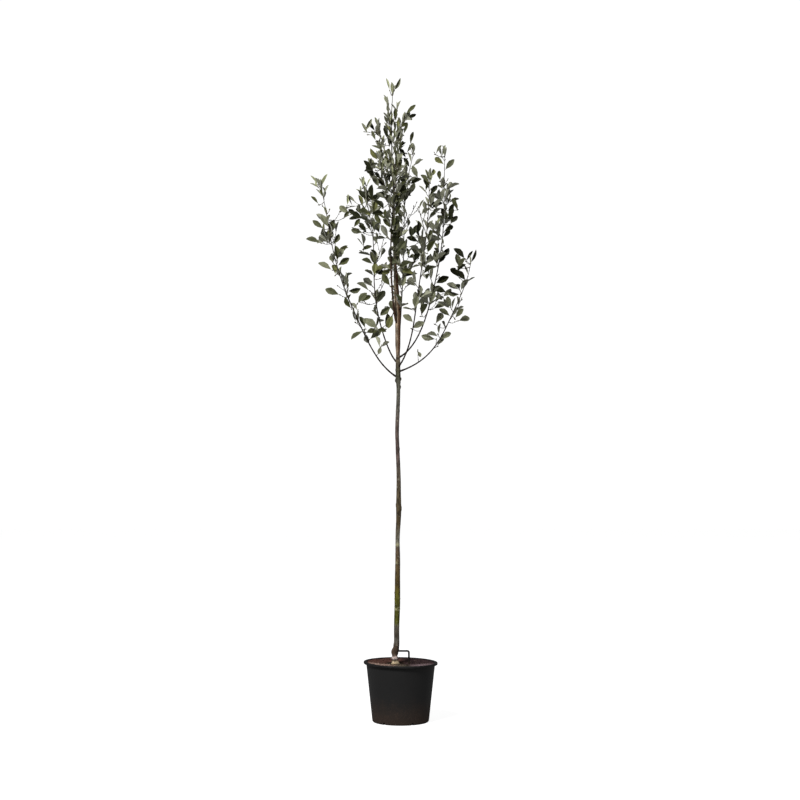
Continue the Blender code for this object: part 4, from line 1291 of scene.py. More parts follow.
def pot_plastic():
    """Black moulded plastic, soil-splashed at its foot, with painted shade darkening its lip,
    and pale scuffs.
    """
    material, g, skin = new_material("pot_plastic", gloss=0.13)
    place = g.place()
    foot = g.group("soil_dust", {"Place": place, "Full": -0.015, "Gone": 0.115})
    aside = g.add("ShaderNodeVectorMath", {0: place, 1: (0.3, 0.1, 0.0)}, operation="ADD")
    rim = g.group("soil_dust", {"Place": aside.outputs[0], "Full": 0.300, "Gone": 0.205})
    cloud = g.noise(place, 14.0, 4.0)
    base = g.mix(g.times(cloud, 0.8), PLASTIC, (0.0185, 0.0180, 0.0172))
    base = g.cover(base, foot["Mask"], 0.62, SOIL_DUST)
    base = g.cover(base, foot["Specks"], 0.5, (0.16, 0.11, 0.08))
    parts = g.parts(place)
    # Painted shade over the lip, from the rim's height up, ragged, and left off at two places
    # in front.
    level = g.fit(parts["Z"], 0.2262, 0.2312)
    ragged = g.fit(g.noise(place, 31.0, 4.0, 0.65), 0.40, 0.56)
    lip = g.times(level, g.times(ragged, g.fit(rim["Mask"], 0.0, 0.5, 0.6)))
    for x, wide in LIP_SHADE_GAPS:
        gap = g.fit(g.apart(parts["X"], x), wide, 1.6 * wide)
        lip = g.times(lip, g.math("MAXIMUM", gap, g.fit(parts["Y"], -0.05, 0.0)))
    base = g.mix(g.math("MULTIPLY", lip, LIP_SHARE, clamp=True), base, LIP_SHADE)
    streaks = g.noise(g.stretched(place, 1.0, 1.0, 7.0), 34.0, 6.0, 0.72)
    scuffs = g.fit(streaks, 0.66, 0.74)
    base = g.cover(base, scuffs, 0.35, (0.075, 0.072, 0.068))
    rough = g.plus(0.46, g.times(foot["Mask"], 0.35))
    rough = g.plus(rough, g.times(cloud, 0.12))
    pebble = g.noise(place, 900.0, 2.0)
    height = g.plus(g.times(pebble, 0.4), g.times(foot["Mask"], 0.6))
    dress(g, skin, base, rough, height, 0.25, 0.0006)
    return material


def peg_plastic():
    """Black rod, greyed by weather and dusty at its foot."""
    material, g, skin = new_material("peg_plastic", gloss=0.05)
    place = g.place()
    foot = g.group("soil_dust", {"Place": place, "Full": 0.222, "Gone": 0.262})
    cloud = g.noise(place, 160.0, 4.0)
    base = g.mix(cloud, (0.005, 0.005, 0.0055), (0.015, 0.015, 0.0145))
    dress(g, skin, g.mix(g.times(foot["Mask"], 0.6), base, SOIL_DUST),
          g.fit(cloud, 0.3, 0.7, 0.55, 0.80), cloud, 0.2, 0.0004)
    return material


def compost_soil():
    """Damp peaty compost: dark crumbs, purplish brown fibre, paler towards the front, with
    painted shade round the stem's foot and a painted shadow of the rod.
    """
    material, g, skin = new_material("compost_soil", gloss=0.1)
    place = g.place()
    crumbs = g.noise(place, 330.0, 6.0, 0.7)
    tone = g.group("compost_zones", {"Place": place})["Tone"]
    shade = g.plus(g.fit(crumbs, 0.32, 0.56, 0.15, 1.10), g.fit(crumbs, 0.56, 0.76))
    dress(g, skin, g.scaled(tone, shade), g.fit(crumbs, 0.3, 0.7, 0.80, 0.98),
          crumbs, 0.9, 0.0016)
    return material


def bark_chip(name, dark, pale):
    """Bark flake or crumb: its own brown, taken part of the way to the compost's tone round it,
    with that tone's painted shade and shadow.
    """
    material, g, skin = new_material(name, gloss=0.1)
    place = g.place()
    fibre = g.noise(g.stretched(place, 1.0, 0.25, 1.0), 520.0, 4.0, 0.7)
    tone = g.group("compost_zones", {"Place": place})["Tone"]
    own = g.mix(g.fit(fibre, 0.35, 0.65), dark, pale)
    dress(g, skin, g.mix(0.8, own, tone), g.fit(fibre, 0.3, 0.7, 0.72, 0.95),
          fibre, 0.6, 0.0006)
    return material


# height in metres, colour of the bark from there on
TRUNK_COLOURS = (
    (0.2280, (0.300, 0.230, 0.120)),    # callused foot
    (0.2335, (0.700, 0.570, 0.370)),
    (0.2392, (0.560, 0.440, 0.290)),
    (0.2412, (0.026, 0.016, 0.008)),
    (0.2462, (0.026, 0.016, 0.008)),
    (0.2485, (0.380, 0.280, 0.225)),
    (0.2530, (0.900, 0.740, 0.680)),
    (0.2585, (0.860, 0.700, 0.640)),
    (0.2640, (0.200, 0.140, 0.105)),
    (0.272, (0.074, 0.048, 0.030)),     # graft
    (0.300, (0.066, 0.044, 0.030)),
    (0.322, (0.160, 0.150, 0.125)),
    (0.345, (0.078, 0.066, 0.048)),
    (0.380, (0.125, 0.112, 0.085)),
    (0.398, (0.078, 0.082, 0.009)),     # algae
    (0.500, (0.104, 0.100, 0.010)),
    (0.545, (0.104, 0.070, 0.014)),     # brown
    (0.690, (0.104, 0.072, 0.046)),
    (0.722, (0.220, 0.210, 0.160)),     # grey
    (0.790, (0.082, 0.056, 0.024)),     # dark brown
    (0.930, (0.104, 0.080, 0.046)),
    (1.005, (0.170, 0.138, 0.104)),
    (1.060, (0.110, 0.076, 0.068)),     # purplish
    (1.180, (0.122, 0.088, 0.076)),
    (1.260, (0.116, 0.112, 0.092)),     # grey
    (1.350, (0.104, 0.102, 0.078)),
    (1.400, (0.066, 0.066, 0.038)),     # knuckle
    # The leader's pale tan from here up is its bark as the lit left side looks, partly painted
    # highlight; its right side gets painted shade in trunk_bark.
    (1.480, (0.210, 0.150, 0.105)),     # pale leader
    (1.690, (0.300, 0.225, 0.150)),
    (1.780, (0.076, 0.070, 0.050)),
    (2.500, (0.105, 0.110, 0.075)),
)
PALE_RINGS = (0.450, 0.490, 0.638, 0.706)
RING_HALF = 0.0035


def trunk_bark():
    """Bark whose colour changes up the stem, with algae, lenticels, a pale callused foot and
    painted shade down the leader's right side.
    """
    material, g, skin = new_material("trunk_bark", gloss=0.12)
    place = g.place()
    bark = g.group("young_bark", {"Place": place, "Scale": 1.0})
    up = g.parts(place)["Z"]
    wander = g.times(g.minus(g.noise(place, 38.0, 4.0), 0.5),
                    g.fit(up, 0.28, 0.38, 0.006, 0.050))
    height = g.plus(up, wander)
    low, high = TRUNK_COLOURS[0][0], TRUNK_COLOURS[-1][0]
    share = g.math("DIVIDE", g.minus(height, low), high - low)
    stops = [((z - low) / (high - low), colour) for z, colour in TRUNK_COLOURS]
    base = g.ramp(share, stops)
    shade = g.fit(bark["Mottle"], 0.34, 0.66, 0.50, 1.55)
    base = g.scaled(base, shade)
    base = g.mix(g.fit(bark["Grain"], 0.58, 0.40, 0.0, 0.55), base, (0.026, 0.020, 0.014))
    base = g.cover(base, bark["Lenticels"], 0.45, (0.215, 0.180, 0.135))
    scars = g.fit(g.noise(g.stretched(place, 1.0, 1.0, 0.6), 72.0, 3.0, 0.6), 0.60, 0.68)
    base = g.cover(base, scars, 0.75, (0.020, 0.014, 0.009))
    flecks = g.fit(g.noise(place, 110.0, 2.0, 0.5), 0.66, 0.72)
    base = g.cover(base, flecks, 0.6, (0.330, 0.300, 0.230))
    bands = [(0.0, (0, 0, 0))]
    for z in PALE_RINGS:
        bands += [((z + step * RING_HALF - low) / (high - low), (abs(step) < 1,) * 3)
                  for step in (-1, 0, 1)]
    rings = g.ramp(g.math("DIVIDE", g.minus(up, low), high - low), bands)
    broken = g.fit(g.noise(place, 90.0), 0.40, 0.52)
    base = g.mix(g.times(rings, broken), base, (0.420, 0.400, 0.220))
    # Painted shade on the leader's right side, 1.46 to 1.92 m up: dark reddish brown, as light
    # from the left leaves that side in shade.
    across = g.parts(place)["X"]
    across = g.minus(across, g.fit(up, 1.62, 1.85, -0.0106, -0.0240))
    painted_side_shade = g.fit(g.plus(across, g.times(wander, 0.12)), -0.0010, 0.0016)
    painted_side_shade = g.times(painted_side_shade, g.fit(up, 1.46, 1.49))
    painted_side_shade = g.times(painted_side_shade, g.fit(up, 1.92, 1.80))
    base = g.cover(base, painted_side_shade, 0.85, (0.066, 0.027, 0.011))
    dress(g, skin, base, g.fit(bark["Mottle"], 0.3, 0.7, 0.62, 0.86),
          bark["Height"], 0.7, 0.0007)
    return material


def limb_bark(name, dark, pale, young):
    """Dark smooth bark of boughs and twigs."""
    material, g, skin = new_material(name, gloss=0.12)
    place = g.place()
    bark = g.group("young_bark", {"Place": place, "Scale": 1.6})
    height = g.parts(place)["Z"]
    base = g.mix(g.fit(bark["Mottle"], 0.35, 0.70), dark, pale)
    base = g.mix(g.fit(height, 1.62, 2.15, 0.0, 0.5), base, young)
    base = g.cover(base, bark["Lenticels"], 0.4, (0.150, 0.125, 0.095))
    dress(g, skin, base, g.fit(bark["Grain"], 0.3, 0.7, 0.50, 0.78),
          bark["Height"], 0.5, 0.0004)
    return material


def leaf_blade(name, colour, vein, roughness=0.52, sheen=0.0, depth=0.35):
    """One leaf surface: a base colour, a little paler along the veins, quilted between them."""
    material, g, skin = new_material(name, gloss=0.14, sheen_weight=sheen,
                                     sheen_roughness=0.45)
    blade = g.add("ShaderNodeUVMap", uv_map="blade").outputs["UV"]
    veins = g.group("leaf_veins", {"Map": blade, "Pairs": 10.0})
    cloud = g.noise(g.place(), 62.0, 3.0)
    dark = tuple(channel * 0.80 for channel in colour)
    light = tuple(min(channel * 1.22, 1.0) for channel in colour)
    base = g.mix(g.fit(cloud, 0.32, 0.68), dark, light)
    base = g.cover(base, veins["Veins"], 0.5, vein)
    base = g.cover(base, veins["Margin"], 0.7, vein)
    dress(g, skin, base, g.fit(cloud, 0.3, 0.7, roughness - 0.06, roughness + 0.10),
          veins["Height"], depth, 0.0007)
    return material


# upper sides, dealt out by spray: colour and vein colour
UPPER_TINTS = {
    "leaf_olive": ((0.058, 0.063, 0.023), (0.125, 0.132, 0.066)),
    "leaf_grey_green": ((0.080, 0.085, 0.043), (0.160, 0.166, 0.104)),
    "leaf_dark": ((0.016, 0.018, 0.007), (0.060, 0.064, 0.032)),
    "leaf_yellowish": ((0.142, 0.146, 0.052), (0.215, 0.222, 0.100)),
    "leaf_pale": ((0.180, 0.186, 0.116), (0.260, 0.266, 0.190)),
}
# how a mass's name starts, the height that the leaf is above, and how often each upper tint is
# drawn there: the first row that fits holds
TINT_SHARES = (
    ("", 2.12, (4, 3, 4, 3, 5)),
    ("foliage_left_low", 0.0, (4, 6, 3, 2, 4)),
    ("foliage_right", 1.72, (2, 1, 15, 0, 0)),
    ("foliage_right", 0.0, (0, 6, 0, 0, 9)),
    ("leader", 0.0, (4, 2, 12, 1, 0)),
    ("", 0.0, (5, 5, 6, 2, 2)),
)
YOUNG_TINT = ("leaf_young", (0.300, 0.315, 0.180), (0.380, 0.390, 0.250))
STALK_TINT = (0.150, 0.145, 0.070)
UNDER_TINTS = {
    "leaf_felt": ((0.270, 0.275, 0.195), (0.220, 0.226, 0.145)),
    "leaf_felt_grey": ((0.180, 0.184, 0.132), (0.160, 0.164, 0.108)),
}


def floor_card():
    material, g, skin = new_material("floor_card", roughness=0.9, gloss=0.1,
                                     emission_color=(1.0, 1.0, 1.0))
    seen = g.add("ShaderNodeLightPath").outputs["Is Camera Ray"]
    g.feed(skin["Emission Strength"], g.times(seen, 0.90))
    cloud = g.noise(g.place(), 3.0, 2.0)
    g.feed(skin["Base Color"], g.mix(cloud, (0.40, 0.40, 0.40), (0.42, 0.42, 0.42)))
    return material


# ==== Pot, compost and peg ====

def raise_rings(rings, steps):
    """A turned shape, drawn as a circle extruded and resized through the given rings."""
    radius, height = rings[0]
    bpy.ops.mesh.primitive_circle_add(vertices=steps, radius=radius, location=(0, 0, 0))
    item = bpy.context.object
    bpy.ops.object.mode_set(mode="EDIT")
    bpy.ops.mesh.select_all(action="SELECT")
    bpy.ops.transform.translate(value=(0, 0, height))
    for next_radius, next_height in rings[1:]:
        rise = {"value": (0, 0, next_height - height)}
        bpy.ops.mesh.extrude_region_move(TRANSFORM_OT_translate=rise)
        share = next_radius / radius
        bpy.ops.transform.resize(value=(share, share, 1), center_override=(0, 0, next_height))
        radius, height = next_radius, next_height
    bpy.ops.object.mode_set(mode="OBJECT")
    close_ends(item)
    return item


def rounded(radius, height, reach, start, end, steps=5):
    """Rings round a corner: its middle, the corner's own radius and two angles in degrees."""
    angles = [math.radians(start + (end - start) * k / steps) for k in range(steps + 1)]
    return [(radius + reach * math.cos(a), height + reach * math.sin(a)) for a in angles]


def build_pot(material):
    low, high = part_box("pot")
    rim, top = high.x, high.z
    under_rim = top - RIM_HEIGHT
    lip = 0.0024
    inner = POT_TOP_RADIUS - WALL
    rings = [(0.018, low.z + 0.0030), (0.024, low.z + 0.0030), (0.026, low.z),
             (POT_FOOT_RADIUS - 0.016, low.z)]
    rings += rounded(POT_FOOT_RADIUS - FOOT_ROUNDING, low.z + FOOT_ROUNDING, FOOT_ROUNDING,
                     -90, -5, 8)
    rise = under_rim - FOOT_ROUNDING
    for k in range(1, 13):
        share = k / 12
        rings.append((between(POT_FOOT_RADIUS, POT_TOP_RADIUS, share),
                      FOOT_ROUNDING + rise * share))
    rings += [(POT_TOP_RADIUS + 0.0012, under_rim + 0.0004), (rim - 0.0030, under_rim + 0.0022),
              (rim - 0.0006, under_rim + 0.0030), (rim, under_rim + 0.0040)]
    rings += rounded(rim - lip, top - lip, lip, 0, 90)
    rings += [(inner + 0.0060, top - 0.0002)]
    rings += rounded(inner + 0.0030, top - 0.0032, 0.0030, 90, 180)
    rings += [(inner - 0.0004, top - 0.010), (inner - 0.0014, COMPOST_WALL - 0.020)]
    rings += [(POT_FOOT_RADIUS - WALL, FOOT_ROUNDING),
              (POT_FOOT_RADIUS - FOOT_ROUNDING, POT_FLOOR), (0.018, POT_FLOOR)]
    pot = raise_rings(rings, POT_STEPS)
    for k in range(SLOTS):
        cut_slot(pot, SLOT_TURN + k * 2 * math.pi / SLOTS)
    settle_askew(pot)
    shade_by_angle(pot, 38)
    settle(pot, "nursery_pot", material, "pot_plastic", "pot")


def close_ends(item):
    """Fill each open ring of edges with a fan of faces, and turn all faces outwards."""
    shape = bmesh.new()
    shape.from_mesh(item.data)
    open_edges = [edge for edge in shape.edges if edge.is_boundary]
    if open_edges:
        bmesh.ops.holes_fill(shape, edges=open_edges, sides=0)
    bmesh.ops.recalc_face_normals(shape, faces=shape.faces)
    shape.to_mesh(item.data)
    shape.free()


def cut_slot(pot, angle):
    """A rounded drainage slot through the corner of the foot."""
    bpy.ops.mesh.primitive_cube_add(size=1, location=(0, 0, 0))
    slot = bpy.context.object
    bevel = slot.modifiers.new("Bevel", "BEVEL")
    bevel.width = 0.0022
    bevel.segments = 3
    reach = 0.016
    size = Matrix.Diagonal((reach, SLOT_WIDTH, 2 * SLOT_HEIGHT, 1))
    place = Matrix.Translation((POT_FOOT_RADIUS - reach / 2 + 0.004, 0, 0))
    slot.data.transform(Matrix.Rotation(angle, 4, "Z") @ place @ size)
    apply_modifiers(slot)
    cut = pot.modifiers.new("Slot", "BOOLEAN")
    cut.operation = "DIFFERENCE"
    cut.solver = "EXACT"
    cut.object = slot
    apply_modifiers(pot)
    bpy.data.objects.remove(slot, do_unlink=True)


def lumps(x, y):
    """Height of the compost's lumps at a place, zero on average."""
    coarse = noise.noise(Vector((x * 42, y * 42, 3.0)))
    middle = noise.noise(Vector((x * 120, y * 120, 7.0)))
    fine = noise.noise(Vector((x * 330, y * 330, 11.0)))
    return LUMP * (0.75 * coarse + 0.55 * middle + 0.30 * fine)


def compost_height(radius):
    """The even heap that the lumps stand on."""
    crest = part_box("compost")[1].z - COMPOST_CREST
    return between(crest, COMPOST_WALL, eased(radius, 0.050, 0.133))


def settle_askew(item, inside=False):
    """The pot's mouth stands a little high and leans to the right, with what it holds."""
    for vertex in item.data.vertices:
        x, y, z = vertex.co
        lift = MOUTH_LIFT
        if inside:
            lift = between(HEAP_LIFT, HEAP_WALL_LIFT, eased(math.hypot(x, y), 0.045, 0.120))
        vertex.co.z += (lift - MOUTH_LEAN * x) * eased(z, 0.060, 0.215)


def build_compost(material):
    wall = POT_TOP_RADIUS - WALL - 0.0022
    rings = [(0.098, 0.012), (wall - 0.010, 0.150), (wall - 0.002, COMPOST_WALL - 0.006)]
    for k in range(COMPOST_RINGS):
        radius = wall * (1 - k / COMPOST_RINGS) ** 0.9
        rings.append((radius, compost_height(radius)))
    heap = raise_rings(rings, COMPOST_STEPS)
    for vertex in heap.data.vertices:
        x, y, z = vertex.co
        if z > COMPOST_WALL - 0.003:
            near = math.exp(-((x - STEM_X) ** 2 + (y - STEM_Y) ** 2) / CALM_AREA)
            vertex.co.z += lumps(x, y) * (1 - CALM * near)
    settle_askew(heap, inside=True)
    shade_by_angle(heap, 60)
    settle(heap, "compost_heap", material, "compost", "compost")


def chip_shape(draw, long, wide, thick):
    """A broken flake: a six-sided slab with uneven corners."""
    outline = []
    for k in range(6):
        angle = math.pi / 3 * k + draw.uniform(-0.3, 0.3)
        reach = draw.uniform(0.65, 1.0)
        outline.append((math.cos(angle) * long / 2 * reach, math.sin(angle) * wide / 2 * reach))
    tilt = draw.uniform(-0.2, 0.2)
    top = [(x, y, thick / 2 + tilt * y) for x, y in outline]
    bottom = [(x * 0.86, y * 0.86, -thick / 2 + tilt * y) for x, y in outline]
    faces = [tuple(range(6)), tuple(reversed(range(6, 12)))]
    faces += [(k, 6 + k, 6 + (k + 1) % 6, (k + 1) % 6) for k in range(6)]
    return np.array(top + bottom), faces


def scatter(name, count, sizes, seed, materials, slot):
    """Flakes strewn over the compost, joined into one piece."""
    draw = random.Random(seed)
    joined = Joined()
    edge = POT_TOP_RADIUS - WALL - CHIP_MARGIN
    while joined.count < count:
        x, y = draw.uniform(-edge, edge), draw.uniform(-edge, edge)
        if math.hypot(x, y) > edge or math.hypot(x - STEM_X, y - STEM_Y) < CHIP_CLEAR:
            continue
        long = draw.uniform(*sizes)
        points, faces = chip_shape(draw, long, long * draw.uniform(*CHIP_WIDE),
                                   long * draw.uniform(*CHIP_THICK))
        spin = Matrix.Rotation(draw.uniform(0, 2 * math.pi), 3, "Z")
        lean = Matrix.Rotation(draw.gauss(0, CHIP_LEAN), 3, "X")
        roll = Matrix.Rotation(draw.gauss(0, CHIP_ROLL), 3, "Y")
        height = compost_height(math.hypot(x, y)) + lumps(x, y) + long * CHIP_RISE
        turned = points @ np.array(spin @ lean @ roll).T + (x, y, height)
        joined.add(turned, faces, [draw.randrange(len(materials))] * len(faces))
    item = joined.build(name, materials, 25)
    settle_askew(item, inside=True)
    settle(item, name, None, slot)


def build_peg(material):
    """The bent rod: a curve along its middle line, given its thickness and made a mesh."""
    low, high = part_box("drip_peg")
    depth = (low.y + high.y) / 2
    leg_x = high.x - ROD_RADIUS
    arm_z = high.z - ROD_RADIUS
    inner_x, inner_z = leg_x - ROD_ELBOW, arm_z - ROD_ELBOW
    points = [Vector((leg_x + 0.0006, depth, low.z - 0.004)), Vector((leg_x, depth, inner_z))]
    for k in range(1, 8):
        angle = math.pi / 2 * k / 8
        points.append(Vector((inner_x + ROD_ELBOW * math.cos(angle), depth,
                              inner_z + ROD_ELBOW * math.sin(angle))))
    behind = trunk_middle(arm_z).y
    points += [Vector((inner_x, depth, arm_z)), Vector((low.x - 0.004, behind, arm_z))]
    peg = drawn_path(points, [ROD_FULLER * ROD_RADIUS] * len(points), 8)
    shade_by_angle(peg, 40)
    settle(peg, "drip_rod", material, "peg_plastic", "drip_peg")


# ==== Bark ====

def drawn_path(points, radii, resolution):
    """A path drawn through points with a width at each, turned into a closed mesh."""
    bpy.ops.object.select_all(action="DESELECT")
    bpy.ops.curve.primitive_nurbs_path_add(location=(0, 0, 0))
    item = bpy.context.object
    curve = item.data
    curve.splines.clear()
    spline = curve.splines.new("POLY")
    spline.points.add(len(points) - 1)
    for slot, point, radius in zip(spline.points, points, radii):
        slot.co = (*point, 1.0)
        slot.radius = radius
    curve.dimensions = "3D"
    curve.bevel_depth = 1.0
    curve.bevel_resolution = resolution
    curve.use_fill_caps = True
    select_only(item)
    bpy.ops.object.convert(target="MESH")
    item = bpy.context.object
    close_ends(item)
    return item


def knot_height(height, azimuth, radius):
    """How far the healed knots stand out at a place on the trunk."""
    total = 0.0
    for z, turn, spread, stands in TRUNK_KNOTS:
        if abs(height - z) > 4 * spread:
            continue
        aside = math.remainder(azimuth - math.radians(turn), 2 * math.pi) * radius
        gap = math.hypot(height - z, aside) / spread
        collar = math.exp(-((gap - 0.75) / 0.35) ** 2)
        total += stands * (0.75 * math.exp(-gap * gap * 1.4) + 0.45 * collar)
    return total


def bark_relief(height, azimuth, radius):
    """Height of the bark over its smooth limb: wrinkles, lenticels and shallow flutes."""
    place = Vector((math.cos(azimuth) * radius, math.sin(azimuth) * radius, height))
    flutes = noise.noise(Vector((place.x * 150, place.y * 150, place.z * 9)))
    wrinkles = noise.noise(Vector((place.x * 260, place.y * 260, place.z * 620)))
    grain = noise.noise(Vector((place.x * 900, place.y * 900, place.z * 130)))
    return radius * (0.050 * flutes + 0.018 * wrinkles + 0.016 * grain)


def build_trunk(material):
    tall = TRUNK_TOP - TRUNK_FOOT
    count = round(tall / BARK_STEP)
    heights = [TRUNK_FOOT + tall * k / count for k in range(count + 1)]
    trunk = drawn_path([trunk_middle(h) for h in heights],
                       [trunk_at(h)[1] for h in heights], BARK_SIDES // 2 - 2)
    for vertex in trunk.data.vertices:
        height = vertex.co.z
        middle, radius = trunk_at(height)
        spoke = vertex.co - middle
        spoke.z = 0.0
        azimuth = math.atan2(spoke.y, spoke.x)
        out = bark_relief(height, azimuth, radius) + knot_height(height, azimuth, radius)
        for z, width, stands in TRUNK_RINGS:
            out += stands * math.exp(-((height - z) / width) ** 2)
        fuller, aside = eased_row(STEM_FULLNESS, height)
        moved = spoke.normalized() * (radius * root_lobes(height, azimuth) + out + fuller)
        vertex.co = middle + moved + Vector((aside, 0, 0))
    shade_by_angle(trunk, 60)
    settle(trunk, "trunk_bark", material, "trunk_bark", "trunk")


def build_bough(name, limb, material):
    """A whole limb from the trunk to its tip, with leaf scars and a wrinkled collar."""
    count = round(limb.length / LIMB_BARK_STEP)
    points, radii = limb_stretch(limb, 0.0, limb.length, limb.length / count)
    draw = random.Random(f"{name} scars")
    scars = [s for s, _ in golden_steps(draw, FIRST_SCAR, limb.length, NODE_SPACING)]
    step = limb.length / count
    swollen = []
    for k, radius in enumerate(radii):
        near = min(abs(k * step - s) for s in scars)
        swollen.append(radius * (1 + NODE_SWELL * math.exp(-(near / NODE_HALF) ** 2)))
    bough = drawn_path(points, swollen, LIMB_BARK_SIDES // 2 - 2)
    for vertex in bough.data.vertices:
        place = vertex.co
        fine = noise.noise(Vector((*(place * 700).xy, place.z * 260)))
        rough = noise.noise(place * 190) + 0.6 * fine
        vertex.co += vertex.normal * rough * LIMB_BARK_THICK * LIMB_BARK_ROUGH
    shade_by_angle(bough, 60)
    settle(bough, f"bark_{name}", material, "bough_bark", f"bough_{name}")


# ==== Leaves, twigs and buds ====

class Joined:
    """Many small closed shapes gathered into one mesh."""

    def __init__(self):
        self.points = []
        self.faces = []
        self.kinds = []
        self.maps = []
        self.total = 0
        self.count = 0

    def add(self, points, faces, kinds=None, maps=None):
        self.points.append(points)
        self.faces += [tuple(index + self.total for index in face) for face in faces]
        self.kinds += kinds or [0] * len(faces)
        if maps is not None:
            self.maps.append(maps)
        self.total += len(points)
        self.count += 1

    def add_tube(self, twig, sides):
        vertices, faces = tube(*smoothed(twig.points, twig.radii), sides)
        self.add(as_array(vertices), faces)

    def build(self, name, materials, degrees):
        mesh = bpy.data.meshes.new(name)
        mesh.from_pydata(np.vstack(self.points), [], self.faces)
        for material in materials:
            mesh.materials.append(material)
        mesh.polygons.foreach_set("material_index", self.kinds)
        if self.maps:
            blade = mesh.uv_layers.new(name="blade")
            places = np.vstack(self.maps)
            corners = np.zeros(len(mesh.loops), np.int32)
            mesh.loops.foreach_get("vertex_index", corners)
            blade.data.foreach_set("uv", places[corners].ravel())
        item = bpy.data.objects.new(name, mesh)
        bpy.context.scene.collection.objects.link(item)
        shade_by_angle(item, degrees)
        return item


STALK = 0.13                    # share of a leaf's length that is its stalk
BLADE_STATIONS = (0.0, 0.09, 0.22, 0.36, 0.50, 0.64, 0.77, 0.89, 1.0)
UPPER, UNDER, STEM = range(3)


def blade_half_width(t, belly):
    """Half width of an oval blade, one unit wide, fullest at the belly."""
    t = t ** (math.log(0.5) / math.log(belly))
    return 0.5 * math.sin(math.pi * t) ** 0.78


def leaf_shape(fold, arch, cup, twist, belly, teeth):
    """One leaf a unit long and a unit wide, its root at the origin and its tip along +Y.

    fold lifts the margins, arch bends the tip back and cup rounds each half of the blade."""
    points = []
    maps = []
    rows = []
    thick = 0.012

    def put(x, t, lift, across):
        y = STALK + (1 - STALK) * t
        angle = twist * t
        bend = -arch * y * y
        points.append((x * math.cos(angle), y, lift + bend + x * math.sin(angle) * 0.4))
        maps.append((0.5 + across / 2, t))
        return len(points) - 1

    last = len(BLADE_STATIONS) - 1
    for k, t in enumerate(BLADE_STATIONS):
        if k == last:
            rows.append([put(0.0, 1.0, 0.0, 0.0)])
            continue
        half = 0.03 if k == 0 else blade_half_width(t, belly)
        half *= 1 + teeth * (1 if k % 2 else -1)
        margin = fold * half
        crown = fold * half / 2 + cup * half
        row = [put(-half, t, margin, -1), put(-half / 2, t, crown, -0.5), put(0, t, 0.0, 0),
               put(half / 2, t, crown, 0.5), put(half, t, margin, 1),
               put(0, t, -thick - 0.004 * math.sin(math.pi * t), 0)]
        rows.append(row)
    faces = []
    kinds = []

    def lay(face, kind):
        faces.append(face)
        kinds.append(kind)

    edges = [(a, a + 1, UPPER) for a in range(4)] + [(4, 5, UNDER), (5, 0, UNDER)]
    for low, high in zip(rows, rows[1:]):
        for a, b, kind in edges:
            far = high if len(high) == 1 else (high[b], high[a])
            lay((low[a], low[b], *far), kind)
    lay(tuple(reversed(rows[0])), UNDER)
    add_stalk(points, maps, lay, arch, thick)
    return np.array(points), faces, kinds, np.array(maps)


def bands(first, rings, sides):
    """Four-sided faces between rings of points that follow one another."""
    for low in range(first, first + sides * (rings - 1), sides):
        high = low + sides
        for side in range(sides):
            n = (side + 1) % sides
            yield low + n, low + side, high + side, high + n


def add_stalk(points, maps, lay, arch, thick):
    """A three-sided stalk that runs on under the blade as its midrib."""
    first = len(points)
    stations = ((0.0, 0.017, 0.0), (STALK, 0.012, 0.0), (0.45, 0.009, 1.0), (0.80, 0.004, 1.0))
    for y, reach, under in stations:
        for side in range(3):
            angle = math.pi / 2 + 2 * math.pi * side / 3
            lift = -arch * y * y - under * (thick + 0.003)
            points.append((reach * 2.1 * math.cos(angle), y, lift + reach * math.sin(angle)))
            maps.append((0.5, 0.0))
    for face in bands(first, len(stations), 3):
        lay(face, STEM)
    lay((first, first + 1, first + 2), STEM)
    end = len(points) - 3
    lay((end + 2, end + 1, end), STEM)


def leaf_shapes():
    """The leaf in a few casts: flat, folded, arched, cupped, twisted."""
    casts = [(0.45, 0.10, 0.12, 0.0, 0.58), (0.70, 0.18, 0.08, 0.3, 0.55),
             (1.00, 0.08, 0.04, -0.3, 0.60), (0.55, 0.26, 0.12, 0.2, 0.57),
             (1.30, 0.16, 0.0, 0.5, 0.54), (0.80, -0.08, 0.10, -0.5, 0.61)]
    return [leaf_shape(*cast, 0.045) for cast in casts]


def young_shapes():
    """Young leaves, still folded and slender."""
    casts = [(1.2, 0.05, 0.0, 0.2, 0.52), (0.9, 0.12, 0.03, -0.3, 0.54),
             (1.5, -0.04, 0.0, 0.4, 0.50)]
    return [leaf_shape(*cast, 0.03) for cast in casts]


def pick_tint(draw, height, mass_name):
    """Index of an upper tint for a leaf at a height in a mass."""
    shares = next(shares for start, above, shares in TINT_SHARES
                  if mass_name.startswith(start) and height > above)
    return draw.choices(range(len(shares)), shares)[0]


